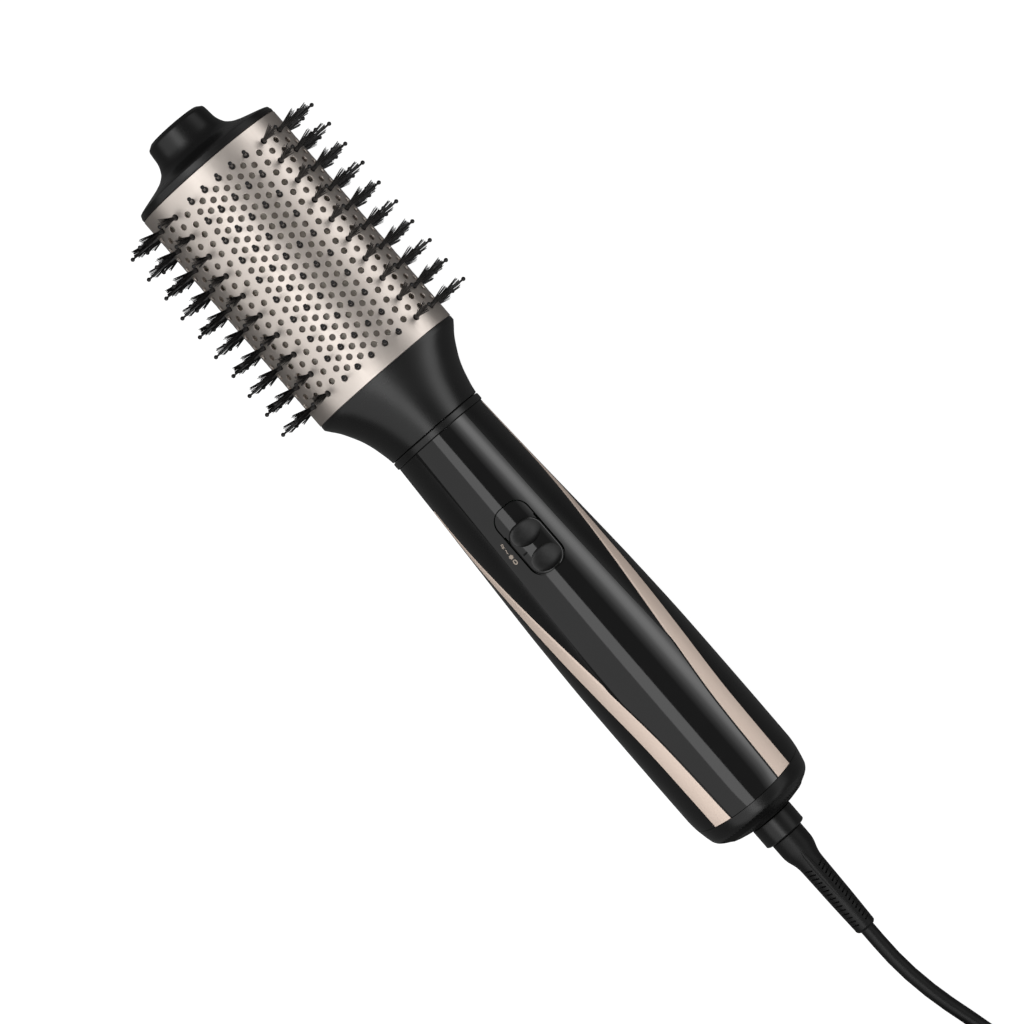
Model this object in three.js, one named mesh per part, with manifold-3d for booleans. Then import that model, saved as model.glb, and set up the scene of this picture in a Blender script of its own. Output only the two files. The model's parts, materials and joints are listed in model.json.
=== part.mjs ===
// Oval hot air brush with its lead. Millimetres, +Z up. The body is drawn along +X from the flat end
// of the tip (x = 0) to the cord, with the switch on top, and is then tilted as it lies on a table:
// on the last row of bristles and on the rear of the handle. The lead lies on the same table.
import * as THREE from 'three';
import { mergeVertices } from 'three/addons/utils/BufferGeometryUtils.js';
import Module from 'manifold-3d';

const wasm = await Module();
wasm.setup();

// Fits between neighbours.
const GAP = 0.3;

// Places along the body.
const BARREL_START = 21.8;
const BARREL_END = 125.3;
const CONE_START = 125.6;
const RING_START = 154.9;
const HANDLE_START = 158.4;
const HANDLE_END = 341;
const END_CAP_BACK = 352.4;
const COLLAR_START = 352.7;
const COLLAR_END = 361.5;
const RELIEF_START = 361.8;
const RELIEF_END = 409.1;

// Half sizes across the body.
const BARREL_HALF_WIDTH = 32.75;
const BARREL_HALF_DEPTH = 20.8;
const BARREL_WALL = 0.8;
const NECK_RADIUS = 20.75;
const RING_RADIUS = 21.2;
const HANDLE_HALF_DEPTH = 23.4;
const WALL = 2;
const COLLAR_RADIUS = 8.9;
const CORD_RADIUS = 3;

// Bristles: ten rows, and twenty strips round the barrel. Steps are measured along its surface.
const ROWS = 10;
const FIRST_ROW_X = 29.9;
const ROW_STEP = 9.87;
const FRONT_STRIP_STEP = 6.88;
const CORNER_STEP = 9.56;
const SIDE_STRIP_STEP = 9.6;
const PIN_HEIGHT = 14.5;
const TUFT_HEIGHT = 10.4;

// Switch: the slot in the front panel, its thumb piece, and how far that travels.
const SLOT = { start: 195, end: 226, halfWidth: 7.8, corner: 6 };
const THUMB = { start: 203.3, end: 225.6, halfWidth: 7.4, corner: 5.8 };

// Resting pose on the table.
const LAST_ROW_X = FIRST_ROW_X + (ROWS - 1) * ROW_STEP;
const REST_X = 336;
const TILT = Math.atan2(BARREL_HALF_DEPTH + PIN_HEIGHT - HANDLE_HALF_DEPTH, REST_X - LAST_ROW_X);

// Lead: the stretch from the strain relief to the coil, then the coil's turns and the end at the plug.
const LEAD_ROUTE = [
  [205.0, 0, 19.25], [212, 0, 18.85], [220, 0.2, 18.1], [229, 1, 16.4], [239, 2.6, 13],
  [248, 4.6, 9.2], [257, 7, 6.1], [266, 9.3, 4.5], [275, 11.5, 4],
];
const COIL = { x: 303.5, y: -24, radius: 33, halfWidth: 9, bottom: 1, top: 19 };
const TAIL_ROUTE = [[327.5, 15, 13.2], [332, 15, 12.1], [337, 15, 11.3], [343, 15, 11]];
const TIE_THICKNESS = 0.6;
const PLUG = { start: 343.3, y: 15, z: 11, reliefLength: 22, bodyLength: 28, pinLength: 19 };

const AROUND = 32;

const finishes = {
  blackSatin: { color: 0x1c1c1d, roughness: 0.45, metalness: 0 },
  blackGloss: { color: 0x161616, roughness: 0.12, metalness: 0 },
  blackRubber: { color: 0x191919, roughness: 0.7, metalness: 0 },
  champagne: { color: 0xcfc4ba, roughness: 0.3, metalness: 1 },
  roseGold: { color: 0xcbb6a6, roughness: 0.35, metalness: 0.6 },
  nylon: { color: 0x151515, roughness: 0.5, metalness: 0 },
  steel: { color: 0xb5b7ba, roughness: 0.35, metalness: 1 },
  brass: { color: 0xb8975a, roughness: 0.35, metalness: 1 },
  mica: { color: 0xb9a98a, roughness: 0.6, metalness: 0 },
  board: { color: 0x2d5a3a, roughness: 0.5, metalness: 0 },
  whitePlastic: { color: 0xd8d6cf, roughness: 0.5, metalness: 0 },
};

// A closed mesh as a solid that can be joined and cut.
function toSolid(geometry) {
  const bare = geometry.clone();
  bare.deleteAttribute('normal');
  bare.deleteAttribute('uv');
  const merged = mergeVertices(bare, 1e-4);
  const index = merged.index.array;
  const kept = [];
  for (let i = 0; i < index.length; i += 3) {
    const [a, b, c] = [index[i], index[i + 1], index[i + 2]];
    if (a !== b && b !== c && c !== a) kept.push(a, b, c);
  }
  return new wasm.Manifold(new wasm.Mesh({
    numProp: 3,
    vertProperties: new Float32Array(merged.attributes.position.array),
    triVerts: new Uint32Array(kept),
  }));
}

function toGeometry(solid) {
  const mesh = solid.getMesh();
  const geometry = new THREE.BufferGeometry();
  geometry.setAttribute('position', new THREE.BufferAttribute(new Float32Array(mesh.vertProperties), 3));
  geometry.setIndex(new THREE.BufferAttribute(new Uint32Array(mesh.triVerts), 1));
  geometry.computeVertexNormals();
  return geometry;
}

const join = (...solids) => solids.reduce((whole, next) => whole.add(next));
// Cuts tools out of a solid, without the specks that nearly touching faces leave.
function cut(solid, ...tools) {
  const left = tools.reduce((rest, tool) => rest.subtract(tool), solid);
  return left.decompose().sort((a, b) => b.volume() - a.volume())[0];
}

// A turned shape about the X axis, from [x, radius] points that run anticlockwise.
function turned(points, segments = AROUND) {
  const profile = points.map(([x, radius]) => new THREE.Vector2(radius, x));
  return new THREE.LatheGeometry(profile, segments).rotateZ(-Math.PI / 2);
}

// A turned tube or pipe: the outer points from front to back, and the inner ones back again.
function turnedShell(outer, inner, segments = AROUND) {
  return turned([...outer, ...inner.slice().reverse(), outer[0]], segments);
}

function tube(start, end, radius, bore, segments = AROUND) {
  return turnedShell([[start, radius], [end, radius]], [[start, bore], [end, bore]], segments);
}

function rod(start, end, radius, segments = 16) {
  return turned([[start, 0], [start, radius], [end, radius], [end, 0]], segments);
}

function box(x0, x1, y0, y1, z0, z1) {
  const geometry = new THREE.BoxGeometry(x1 - x0, y1 - y0, z1 - z0);
  return geometry.translate((x0 + x1) / 2, (y0 + y1) / 2, (z0 + z1) / 2);
}

// Flattens a turned shape: its depth becomes depthShare(x) times its width.
function flattened(geometry, depthShare) {
  const place = geometry.attributes.position;
  for (let i = 0; i < place.count; i += 1) {
    place.setZ(i, place.getZ(i) * depthShare(place.getX(i)));
  }
  return geometry;
}

function between(points, x) {
  const next = points.findIndex(([at]) => at >= x);
  if (next <= 0) return points[next === 0 ? 0 : points.length - 1][1];
  const [x0, y0] = points[next - 1];
  const [x1, y1] = points[next];
  return y0 + ((y1 - y0) * (x - x0)) / (x1 - x0);
}

function smooth(points, count) {
  const curve = new THREE.SplineCurve(points.map(([x, y]) => new THREE.Vector2(x, y)));
  return curve.getPoints(count).map((p) => [p.x, p.y]);
}

// A flat plan outline in X and Y, made upright from z = bottom to z = top.
function upright(outline, bottom, top) {
  const shape = new THREE.Shape(outline.map(([x, y]) => new THREE.Vector2(x, y)));
  const geometry = new THREE.ExtrudeGeometry(shape, { depth: top - bottom, bevelEnabled: false });
  return geometry.translate(0, 0, bottom);
}

function roundedSlab(start, end, halfWidth, corner, bottom, top) {
  const shape = new THREE.Shape();
  shape.moveTo(start + corner, -halfWidth);
  shape.lineTo(end - corner, -halfWidth);
  shape.absarc(end - corner, corner - halfWidth, corner, -Math.PI / 2, 0);
  shape.absarc(end - corner, halfWidth - corner, corner, 0, Math.PI / 2);
  shape.absarc(start + corner, halfWidth - corner, corner, Math.PI / 2, Math.PI);
  shape.absarc(start + corner, corner - halfWidth, corner, Math.PI, 1.5 * Math.PI);
  const options = { depth: top - bottom, bevelEnabled: false, curveSegments: 6 };
  return new THREE.ExtrudeGeometry(shape, options).translate(0, 0, bottom);
}

// A round bar along a smooth route.
function bar(route, radius, sides, steps) {
  const section = new THREE.Shape(new THREE.EllipseCurve(0, 0, radius, radius).getPoints(sides).slice(0, -1));
  const path = new THREE.CatmullRomCurve3(route.map((p) => new THREE.Vector3(...p)));
  return new THREE.ExtrudeGeometry(section, { steps, extrudePath: path, bevelEnabled: false });
}

const brush = new THREE.Group();
const lead = new THREE.Group();

function part(group, name, finish, shape) {
  const geometry = shape.isBufferGeometry ? shape : toGeometry(shape);
  const mesh = new THREE.Mesh(geometry, new THREE.MeshStandardMaterial(finishes[finish]));
  mesh.name = name;
  group.add(mesh);
  return mesh;
}

// ---- Head ----

const OVAL_SHARE = BARREL_HALF_DEPTH / BARREL_HALF_WIDTH;
const capShare = (x) => between([[0, 0.78], [14, 0.72], [21.5, OVAL_SHARE]], x);

function tipCap() {
  const outer = [
    [0, 11.2], [2.6, 13.6], [8.3, 14.3], [12.2, 15.8], [14.5, 18.3], [17.2, 25.4],
    [19.1, 32.1], [20.6, 32.75], [21.5, 32.75],
  ];
  const inner = [[3, 0], [3, 10.6], [12, 12], [17.6, 20], [21.5, 29.5]];
  const shell = turned([[0, 0], ...outer, ...inner.slice().reverse()], AROUND);
  return flattened(shell, capShare);
}

// The oval's surface, met at a distance along it from the middle of the front face.
function ovalPlace(distance) {
  const fine = 0.002;
  let turn = 0;
  for (let left = Math.abs(distance); left > 0; turn += fine) {
    left -= fine * Math.hypot(BARREL_HALF_WIDTH * Math.cos(turn), BARREL_HALF_DEPTH * Math.sin(turn));
  }
  const y = BARREL_HALF_WIDTH * Math.sin(turn) * Math.sign(distance);
  const z = BARREL_HALF_DEPTH * Math.cos(turn);
  return { y, z, lean: Math.atan2(y / BARREL_HALF_WIDTH ** 2, z / BARREL_HALF_DEPTH ** 2) };
}

// The five places of the strips on each face: across the front and back, and down the two sides.
function stripPlaces() {
  const faces = [];
  const corner = 2 * FRONT_STRIP_STEP + CORNER_STEP;
  for (let i = -2; i <= 2; i += 1) {
    const front = ovalPlace(i * FRONT_STRIP_STEP);
    const side = ovalPlace(corner + (2 - Math.abs(i)) * SIDE_STRIP_STEP);
    const below = i > 0;
    const down = { y: side.y, z: below ? -side.z : side.z, lean: below ? Math.PI - side.lean : side.lean };
    const number = i + 3;
    faces.push({ name: `front_${number}`, tufted: false, ...front });
    faces.push({ name: `back_${number}`, tufted: false, y: front.y, z: -front.z, lean: Math.PI - front.lean });
    faces.push({ name: `left_${number}`, tufted: true, ...down });
    faces.push({ name: `right_${number}`, tufted: true, y: -down.y, z: down.z, lean: -down.lean });
  }
  return faces;
}

const STRIP_START = FIRST_ROW_X - 4.6;
const STRIP_END = LAST_ROW_X + 3.6;
const RIB_HALF = 0.5;
const SLIT_HALF = RIB_HALF + GAP;
const STRIP_SINK = BARREL_WALL + GAP + 0.15;

// One strip before it is placed: a flat foot inside the barrel, a rib through its slit, and the bristles.
// Tufts stand square to the barrel, and the pins of a face all stand parallel.
function strip({ tufted, z, lean }) {
  const pinLean = z > 0 ? lean : lean - Math.PI;
  const foot = box(STRIP_START, STRIP_END, -1.7, 1.7, -STRIP_SINK - 1, -STRIP_SINK);
  const rib = box(FIRST_ROW_X - 2, LAST_ROW_X + 2, -RIB_HALF, RIB_HALF, -STRIP_SINK - 0.5, -0.1);
  const rows = [];
  for (let row = 0; row < ROWS; row += 1) {
    const bristle = tufted ? tuft() : ballPin().rotateX(pinLean);
    rows.push(toSolid(bristle.translate(FIRST_ROW_X + row * ROW_STEP, 0, 0)));
  }
  return join(toSolid(foot), toSolid(rib), ...rows);
}

function ballPin() {
  const profile = [[0, -0.6], [0.5, -0.6], [0.42, PIN_HEIGHT - 1.7], [0.85, PIN_HEIGHT - 0.85], [0, PIN_HEIGHT]];
  const points = profile.map(([radius, z]) => new THREE.Vector2(radius, z));
  return new THREE.LatheGeometry(points, 3).rotateX(Math.PI / 2);
}

function tuft() {
  const half = [[0.9, -0.6], [3.4, TUFT_HEIGHT], [0.8, PIN_HEIGHT]];
  const outline = [...half, ...half.slice().reverse().map(([x, z]) => [-x, z])];
  const shape = new THREE.Shape(outline.map(([x, z]) => new THREE.Vector2(x, z)));
  const geometry = new THREE.ExtrudeGeometry(shape, { depth: 0.9, bevelEnabled: false });
  return geometry.translate(0, 0, -0.45).rotateX(Math.PI / 2);
}

function placed(solid, { y, z, lean }) {
  return solid.rotate([-THREE.MathUtils.radToDeg(lean), 0, 0]).translate([0, y, z]);
}

function barrelSleeve(places) {
  const ovalTube = flattened(
    tube(BARREL_START, BARREL_END, BARREL_HALF_WIDTH, BARREL_HALF_WIDTH - BARREL_WALL, 48),
    () => OVAL_SHARE,
  );
  const slit = toSolid(box(FIRST_ROW_X - 2.3, LAST_ROW_X + 2.3, -SLIT_HALF, SLIT_HALF, -3, 3));
  return cut(toSolid(ovalTube), ...places.map((place) => placed(slit, place)));
}

function retainerRing(start, end) {
  return flattened(tube(start, end, 31.2, 28.6, 24), () => OVAL_SHARE * 0.985);
}

function buildHead() {
  const places = stripPlaces();
  part(brush, 'tip_cap', 'blackSatin', toSolid(tipCap()));
  part(brush, 'barrel_sleeve', 'champagne', barrelSleeve(places));
  for (const place of places) {
    part(brush, `bristle_strip_${place.name}`, 'nylon', placed(strip(place), place));
  }
  part(brush, 'strip_retainer_tip', 'whitePlastic', retainerRing(22.2, 24.7));
  part(brush, 'strip_retainer_neck', 'whitePlastic', retainerRing(122.7, 125));
}

// ---- Neck and handle ----

const HANDLE_OUTLINE = smooth([
  [HANDLE_START, NECK_RADIUS], [184, 22], [215, 23.45], [246, 24.8], [276, 25.35], [305, 25.5], [HANDLE_END, 25.4],
], 8);
const handleShare = (x) => between([[HANDLE_START, 1], [215, 0.955], [276, 0.925], [HANDLE_END, 0.918]], x);

// The handle's outer form, drawn in by an inset.
function handleForm(inset, reach = 0) {
  const points = HANDLE_OUTLINE.map(([x, radius]) => [x, radius - inset]);
  points[0][0] -= reach;
  points[points.length - 1][0] += reach;
  const whole = [[points[0][0], 0], ...points, [points[points.length - 1][0], 0]];
  return toSolid(flattened(turned(whole), handleShare));
}

// Half widths in plan of the front panel, and the inner and outer edge of each inlay.
const PANEL_EDGE = smooth([[HANDLE_START, 12.4], [200, 13], [240, 14.2], [272, 15.3]], 3);
const INLAY_INNER = smooth([
  [192, 21.65], [199, 21.45], [218, 20.6], [237, 19.2], [256, 17.4], [275, 15.5], [305, 12.8], [HANDLE_END, 11.5],
], 8);
const INLAY_OUTER = smooth([
  [192, 22.3], [208, 22.6], [237, 22.5], [256, 22], [275, 21], [305, 19.3], [HANDLE_END, 18.7],
], 8);
const INLAY_DEPTH = 1;

function panelOutline(inset) {
  const edge = [...PANEL_EDGE, ...INLAY_INNER.filter(([x]) => x > 275)];
  const upper = edge.map(([x, y]) => [x, y - inset]);
  upper[0][0] += inset - 5 * (inset < 0);
  upper[upper.length - 1][0] += inset < 0 ? 5 : 0;
  return [...upper.map(([x, y]) => [x, -y]), ...upper.slice().reverse()];
}

function inlayOutline(inset) {
  const inner = INLAY_INNER.map(([x, y]) => [x, y + inset]);
  const outer = INLAY_OUTER.map(([x, y]) => [x, y - inset]);
  inner[0][0] += inset;
  outer[0][0] += inset;
  return [...inner, ...outer.slice().reverse()];
}

const mirrored = (outline) => outline.map(([x, y]) => [x, -y]).reverse();

function buildHandle() {
  const outer = handleForm(0);
  const inlayBed = handleForm(INLAY_DEPTH, 5);
  const rebateBed = handleForm(INLAY_DEPTH + GAP, 5);
  const shell = outer.subtract(handleForm(WALL, 5));
  const slot = toSolid(roundedSlab(SLOT.start, SLOT.end, SLOT.halfWidth, SLOT.corner, 5, 40));
  const panelTool = toSolid(upright(panelOutline(0.15), 0, 40));
  const openingTool = toSolid(upright(panelOutline(-0.15), 0, 40));
  const rebates = [inlayOutline(-0.15), mirrored(inlayOutline(-0.15))]
    .map((outline) => toSolid(upright(outline, -GAP, 40)).subtract(rebateBed));
  const inlays = [inlayOutline(0.15), mirrored(inlayOutline(0.15))]
    .map((outline) => outer.intersect(toSolid(upright(outline, 0, 40))).subtract(inlayBed));
  part(brush, 'handle_shell', 'blackSatin', cut(shell, openingTool, ...rebates));
  part(brush, 'front_panel', 'blackGloss', cut(shell.intersect(panelTool), slot, ...rebates));
  part(brush, 'inlay_left', 'roseGold', inlays[0]);
  part(brush, 'inlay_right', 'roseGold', inlays[1]);
}

function neckCone() {
  const outer = [
    [CONE_START, 32.75], [128, 32.75], [129.4, 31.7], [137.3, 26.4], [145, 23.05], [RING_START - GAP, 21.1],
  ];
  const inner = outer.map(([x, radius]) => [x, radius - WALL]);
  const share = (x) => NECK_RADIUS / Math.max(NECK_RADIUS, between(outer, x));
  const solid = turnedShell(outer, inner);
  return toSolid(flattened(solid, share));
}

function endCap() {
  const width = HANDLE_OUTLINE[HANDLE_OUTLINE.length - 1][1];
  const start = HANDLE_END + GAP;
  const outer = [[start, width], [345.2, 23.9], [349.2, 20], [351.6, 14.6], [END_CAP_BACK, 9.5], [END_CAP_BACK, 5.2]];
  const inner = [[start, width - WALL], [344.5, 21.9], [347.6, 18.2], [349.8, 12.4], [350, 5.2]];
  const cap = toSolid(flattened(turnedShell(outer, inner), () => handleShare(HANDLE_END)));
  const slits = [];
  const count = 16;
  for (let i = 0; i < count; i += 1) {
    const slit = box(344.5, 356, -0.9, 0.9, 10.5, 18.5);
    slits.push(toSolid(slit.rotateX(((i + 0.5) * 2 * Math.PI) / count)));
  }
  return cut(cap, ...slits);
}

function buildNeckAndRear() {
  part(brush, 'neck_cone', 'blackSatin', neckCone());
  part(brush, 'neck_ring', 'blackSatin', tube(RING_START, HANDLE_START - GAP, RING_RADIUS, RING_RADIUS - 2.4));
  part(brush, 'end_cap', 'blackSatin', endCap());
  part(brush, 'intake_filter', 'steel', tube(343.2, 343.9, 20, 6.8, 18));
  part(brush, 'collar', 'blackSatin', tube(COLLAR_START, COLLAR_END, COLLAR_RADIUS, 5.2, 20));
}

// ---- Switch ----

function thumb() {
  const top = between(HANDLE_OUTLINE, 214) * handleShare(214) + 1.3;
  const slab = roundedSlab(THUMB.start, THUMB.end, THUMB.halfWidth, THUMB.corner, top - 3.3, top);
  const scoops = [208.6, 219.8].map((x) => {
    const bowl = new THREE.SphereGeometry(1, 14, 8).scale(4.6, 6.4, 1.7).translate(x, 0, top + 0.2);
    return toSolid(bowl);
  });
  return cut(toSolid(slab), ...scoops);
}

function shutter() {
  const plate = handleForm(2.9).subtract(handleForm(3.7, 5));
  return plate.intersect(toSolid(box(194.6, 234.6, -8.6, 8.6, 5, 40)));
}

function buildSwitch() {
  part(brush, 'switch_thumb', 'blackGloss', thumb());
  part(brush, 'switch_shutter', 'blackGloss', shutter());
  part(brush, 'slide_switch', 'whitePlastic', box(202, 226, -5, 5, 9, 15));
  part(brush, 'circuit_board', 'board', box(186, 242, -12, 12, 7, 8.6));
}

// ---- Air and heat ----

function heaterFrame() {
  const half = 13.2;
  return join(
    toSolid(box(60, 150, -half, half, -0.4, 0.4)),
    toSolid(box(60, 150, -0.4, 0.4, -half, half)),
  );
}

function heaterCoil() {
  const [turns, stepsPerTurn, radius] = [6, 9, 14.5];
  const route = [];
  for (let i = 0; i <= turns * stepsPerTurn; i += 1) {
    const angle = (i * 2 * Math.PI) / stepsPerTurn;
    route.push([66 + (i / stepsPerTurn) * 13, radius * Math.cos(angle), radius * Math.sin(angle)]);
  }
  return bar(route, 0.5, 4, turns * stepsPerTurn);
}

function impeller() {
  const [start, end, blades] = [302, 314, 7];
  const hub = toSolid(tube(start, end, 6, 1.5, 14));
  const vanes = [];
  for (let i = 0; i < blades; i += 1) {
    const vane = new THREE.BoxGeometry(12, 1.2, 13).rotateZ(0.6).translate((start + end) / 2, 0, 11.8);
    vanes.push(toSolid(vane.rotateX((i * 2 * Math.PI) / blades)));
  }
  const blank = toSolid(tube(start + 0.5, end - 0.5, 18.4, 5, 14));
  return join(hub, ...vanes.map((vane) => vane.intersect(blank)));
}

function motorMount() {
  const ring = toSolid(tube(272, 280, 17.4, 15, 20));
  const arms = [0, 1, 2].map((i) => {
    const arm = box(273, 279, -1.5, 1.5, 16.5, 20.4);
    return toSolid(arm.rotateX((i * 2 * Math.PI) / 3));
  });
  return join(ring, ...arms);
}

function buildInside() {
  part(brush, 'tie_rod', 'steel', rod(4, 59.5, 2));
  part(brush, 'heater_frame', 'mica', heaterFrame());
  part(brush, 'heater_coil', 'steel', heaterCoil());
  part(brush, 'heat_shield', 'mica', tube(127, 153, 17.2, 16.4, 16));
  part(brush, 'thermostat', 'steel', box(151, 158, -5, 5, -3, 3));
  part(brush, 'thermal_fuse', 'steel', rod(160, 171, 1.9, 10));
  part(brush, 'motor', 'steel', tube(262, 296, 14.5, 1.6, 20));
  part(brush, 'motor_mount', 'blackSatin', motorMount());
  part(brush, 'motor_shaft', 'steel', rod(258, 315, 1.2, 10));
  part(brush, 'fan_impeller', 'whitePlastic', impeller());
  part(brush, 'fan_shroud', 'blackSatin', tube(300, 320, 20.2, 19, 20));
}

// ---- Lead ----

function strainRelief() {
  return turned([
    [RELIEF_START, 0], [RELIEF_START, 6.9], [368.3, 6.9], [372, 6.2], [376.8, 5], [408, 4.2], [RELIEF_END, 3.6], [RELIEF_END, 0],
  ], 16);
}

function spindle() {
  return turnedShell(
    [[345.2, 6.6], [346.9, 6.6], [346.9, 4.7], [361.2, 4.7]],
    [[345.2, 3.5], [361.2, 3.5]],
    20,
  );
}

function coil() {
  const { radius, halfWidth, bottom, top } = COIL;
  const chamfer = 2.2;
  const half = [
    [-halfWidth + chamfer, bottom], [halfWidth - chamfer, bottom], [halfWidth, bottom + chamfer],
    [halfWidth, top - chamfer], [halfWidth - chamfer, top], [-halfWidth + chamfer, top],
    [-halfWidth, top - chamfer], [-halfWidth, bottom + chamfer], [-halfWidth + chamfer, bottom],
  ];
  const profile = half.map(([across, z]) => new THREE.Vector2(radius + across, z));
  return new THREE.LatheGeometry(profile, 24).rotateX(Math.PI / 2).translate(COIL.x, COIL.y, 0);
}

// A band round the coil's bundle of turns, on its far side.
function coilTie() {
  const slack = 1.2;
  const half = COIL.halfWidth + slack;
  const block = (halfLength, halfAcross, low, high) =>
    toSolid(box(-halfLength, halfLength, -COIL.radius - halfAcross, -COIL.radius + halfAcross, low, high));
  const outside = block(6, half + TIE_THICKNESS, COIL.bottom - GAP - TIE_THICKNESS, COIL.top + GAP + TIE_THICKNESS);
  const inside = block(7, half, COIL.bottom - GAP, COIL.top + GAP);
  return outside.subtract(inside).translate([COIL.x, COIL.y, 0]);
}

function plugBody() {
  const start = PLUG.start + PLUG.reliefLength + GAP;
  const end = start + PLUG.bodyLength;
  const share = (x) => between([[start, 1], [start + 6, 0.8], [start + 14, 0.65], [end, 0.62]], x);
  const profile = [[start, 0], [start, 7.5], [start + 6, 12], [start + 14, 16.4], [end - 1, 17.4], [end, 16.6], [end, 0]];
  return flattened(turned(profile, 24), share).translate(0, PLUG.y, PLUG.z);
}

function buildLead() {
  part(brush, 'strain_relief', 'blackRubber', strainRelief());
  part(brush, 'swivel_spindle', 'blackSatin', spindle());
  part(brush, 'inner_lead', 'blackRubber', rod(322, 361.4, CORD_RADIUS, 12));
  part(brush, 'cord_clamp', 'blackSatin', box(330, 336, -9, 9, 3.4, 7));
  part(lead, 'cord_lead', 'blackRubber', bar(LEAD_ROUTE, CORD_RADIUS, 10, 10));
  part(lead, 'cord_coil', 'blackRubber', coil());
  part(lead, 'coil_tie', 'blackSatin', coilTie());
  part(lead, 'cord_tail', 'blackRubber', bar(TAIL_ROUTE, CORD_RADIUS, 10, 3));
  const reliefEnd = PLUG.start + PLUG.reliefLength;
  const relief = turned([[PLUG.start, 0], [PLUG.start, 3.9], [reliefEnd, 5.4], [reliefEnd, 0]], 16);
  part(lead, 'plug_strain_relief', 'blackRubber', relief.translate(0, PLUG.y, PLUG.z));
  part(lead, 'plug_body', 'blackRubber', plugBody());
  const face = reliefEnd + PLUG.bodyLength + 2 * GAP;
  for (const [name, side] of [['plug_pin_left', 1], ['plug_pin_right', -1]]) {
    const pin = turned([[face, 0], [face, 2.4], [face + PLUG.pinLength - 1, 2.4], [face + PLUG.pinLength, 1.4], [face + PLUG.pinLength, 0]], 12);
    part(lead, name, 'brass', pin.translate(0, PLUG.y + side * 9.5, PLUG.z));
  }
}

buildHead();
buildHandle();
buildNeckAndRear();
buildSwitch();
buildInside();
buildLead();

// The brush lies tilted, with its lowest points on the table and its middle over the origin.
brush.rotation.y = TILT;
brush.updateMatrixWorld(true);
const extent = new THREE.Box3().setFromObject(brush, true);
const middle = extent.getCenter(new THREE.Vector3());
brush.position.set(-middle.x, -middle.y, -extent.min.z);

const model = new THREE.Group();
model.add(brush, lead);

export default model;
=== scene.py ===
import bisect
import json
import math
import random

import bpy
from mathutils import Matrix, Vector


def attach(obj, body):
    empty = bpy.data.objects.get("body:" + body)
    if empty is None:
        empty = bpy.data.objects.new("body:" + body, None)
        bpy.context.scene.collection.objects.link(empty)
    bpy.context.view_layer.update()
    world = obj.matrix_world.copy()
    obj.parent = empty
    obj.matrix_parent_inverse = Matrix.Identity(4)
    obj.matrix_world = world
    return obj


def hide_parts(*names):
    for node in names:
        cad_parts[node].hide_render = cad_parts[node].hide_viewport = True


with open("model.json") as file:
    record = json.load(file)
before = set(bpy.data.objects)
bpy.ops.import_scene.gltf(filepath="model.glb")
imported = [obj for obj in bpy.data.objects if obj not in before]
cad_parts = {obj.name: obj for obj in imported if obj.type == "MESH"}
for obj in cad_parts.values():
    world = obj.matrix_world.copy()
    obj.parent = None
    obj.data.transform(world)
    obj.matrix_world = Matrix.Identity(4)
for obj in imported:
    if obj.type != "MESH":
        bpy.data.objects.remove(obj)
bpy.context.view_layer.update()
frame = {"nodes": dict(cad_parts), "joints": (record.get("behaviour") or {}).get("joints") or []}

# ---------------------------------------------------------------- the brush's own frame
# Pieces are modelled in millimetres along the brush's axis, as its CAD is: x from the flat end of the
# tip towards the cord, z up through the switch. settle() turns them to metres where the brush lies.
MM = 0.001
joints = {joint["name"]: joint for joint in frame["joints"]}
axis = Vector(joints["cord_swivel"]["axis"]).normalized()
COLLAR_X = 365.0
TILT = math.atan2(-axis.z, axis.x)
LIE = Matrix.Rotation(TILT, 4, "Y")
TO_ROW = Matrix.Translation(Vector(joints["cord_swivel"]["pos_m"]) - axis * COLLAR_X * MM) @ LIE
TO_ROW_MM = TO_ROW @ Matrix.Scale(MM, 4)

BARREL = {"start": 22.15, "end": 126.0, "wide": 32.97, "deep": 20.8, "wall": 0.8}
FIRST_ROW = 29.9
ROW_STEP = 9.87
ROWS = 10
HOLE_STEP = ROW_STEP / 4
HANDLE_START, HANDLE_END = 158.4, 341.0
HAND = random.Random(11)


def law(points):
    """A smooth line through (place, value) points that makes no waves of its own between them."""
    places, values = zip(*points)
    rises = [(v1 - v0) / (p1 - p0) for (p0, v0), (p1, v1) in zip(points, points[1:])]
    inner = [0 if a * b <= 0 else 2 * a * b / (a + b) for a, b in zip(rises, rises[1:])]
    slopes = [rises[0], *inner, rises[-1]]

    def at(place):
        i = min(max(bisect.bisect_right(places, place) - 1, 0), len(places) - 2)
        span = places[i + 1] - places[i]
        t = min(max((place - places[i]) / span, 0), 1)
        return (
            values[i] * (1 + 2 * t) * (1 - t) ** 2
            + slopes[i] * span * t * (1 - t) ** 2
            + values[i + 1] * t * t * (3 - 2 * t)
            - slopes[i + 1] * span * t * t * (1 - t)
        )

    return at


def spread(low, high, count):
    """Places from low to high, that many equal steps apart."""
    return [low + (high - low) * i / count for i in range(count + 1)]


def ease(low, high, value):
    """0 up to low, 1 from high on, and a smooth rise between them."""
    t = min(max((value - low) / (high - low), 0), 1)
    return t * t * (3 - 2 * t)


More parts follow.
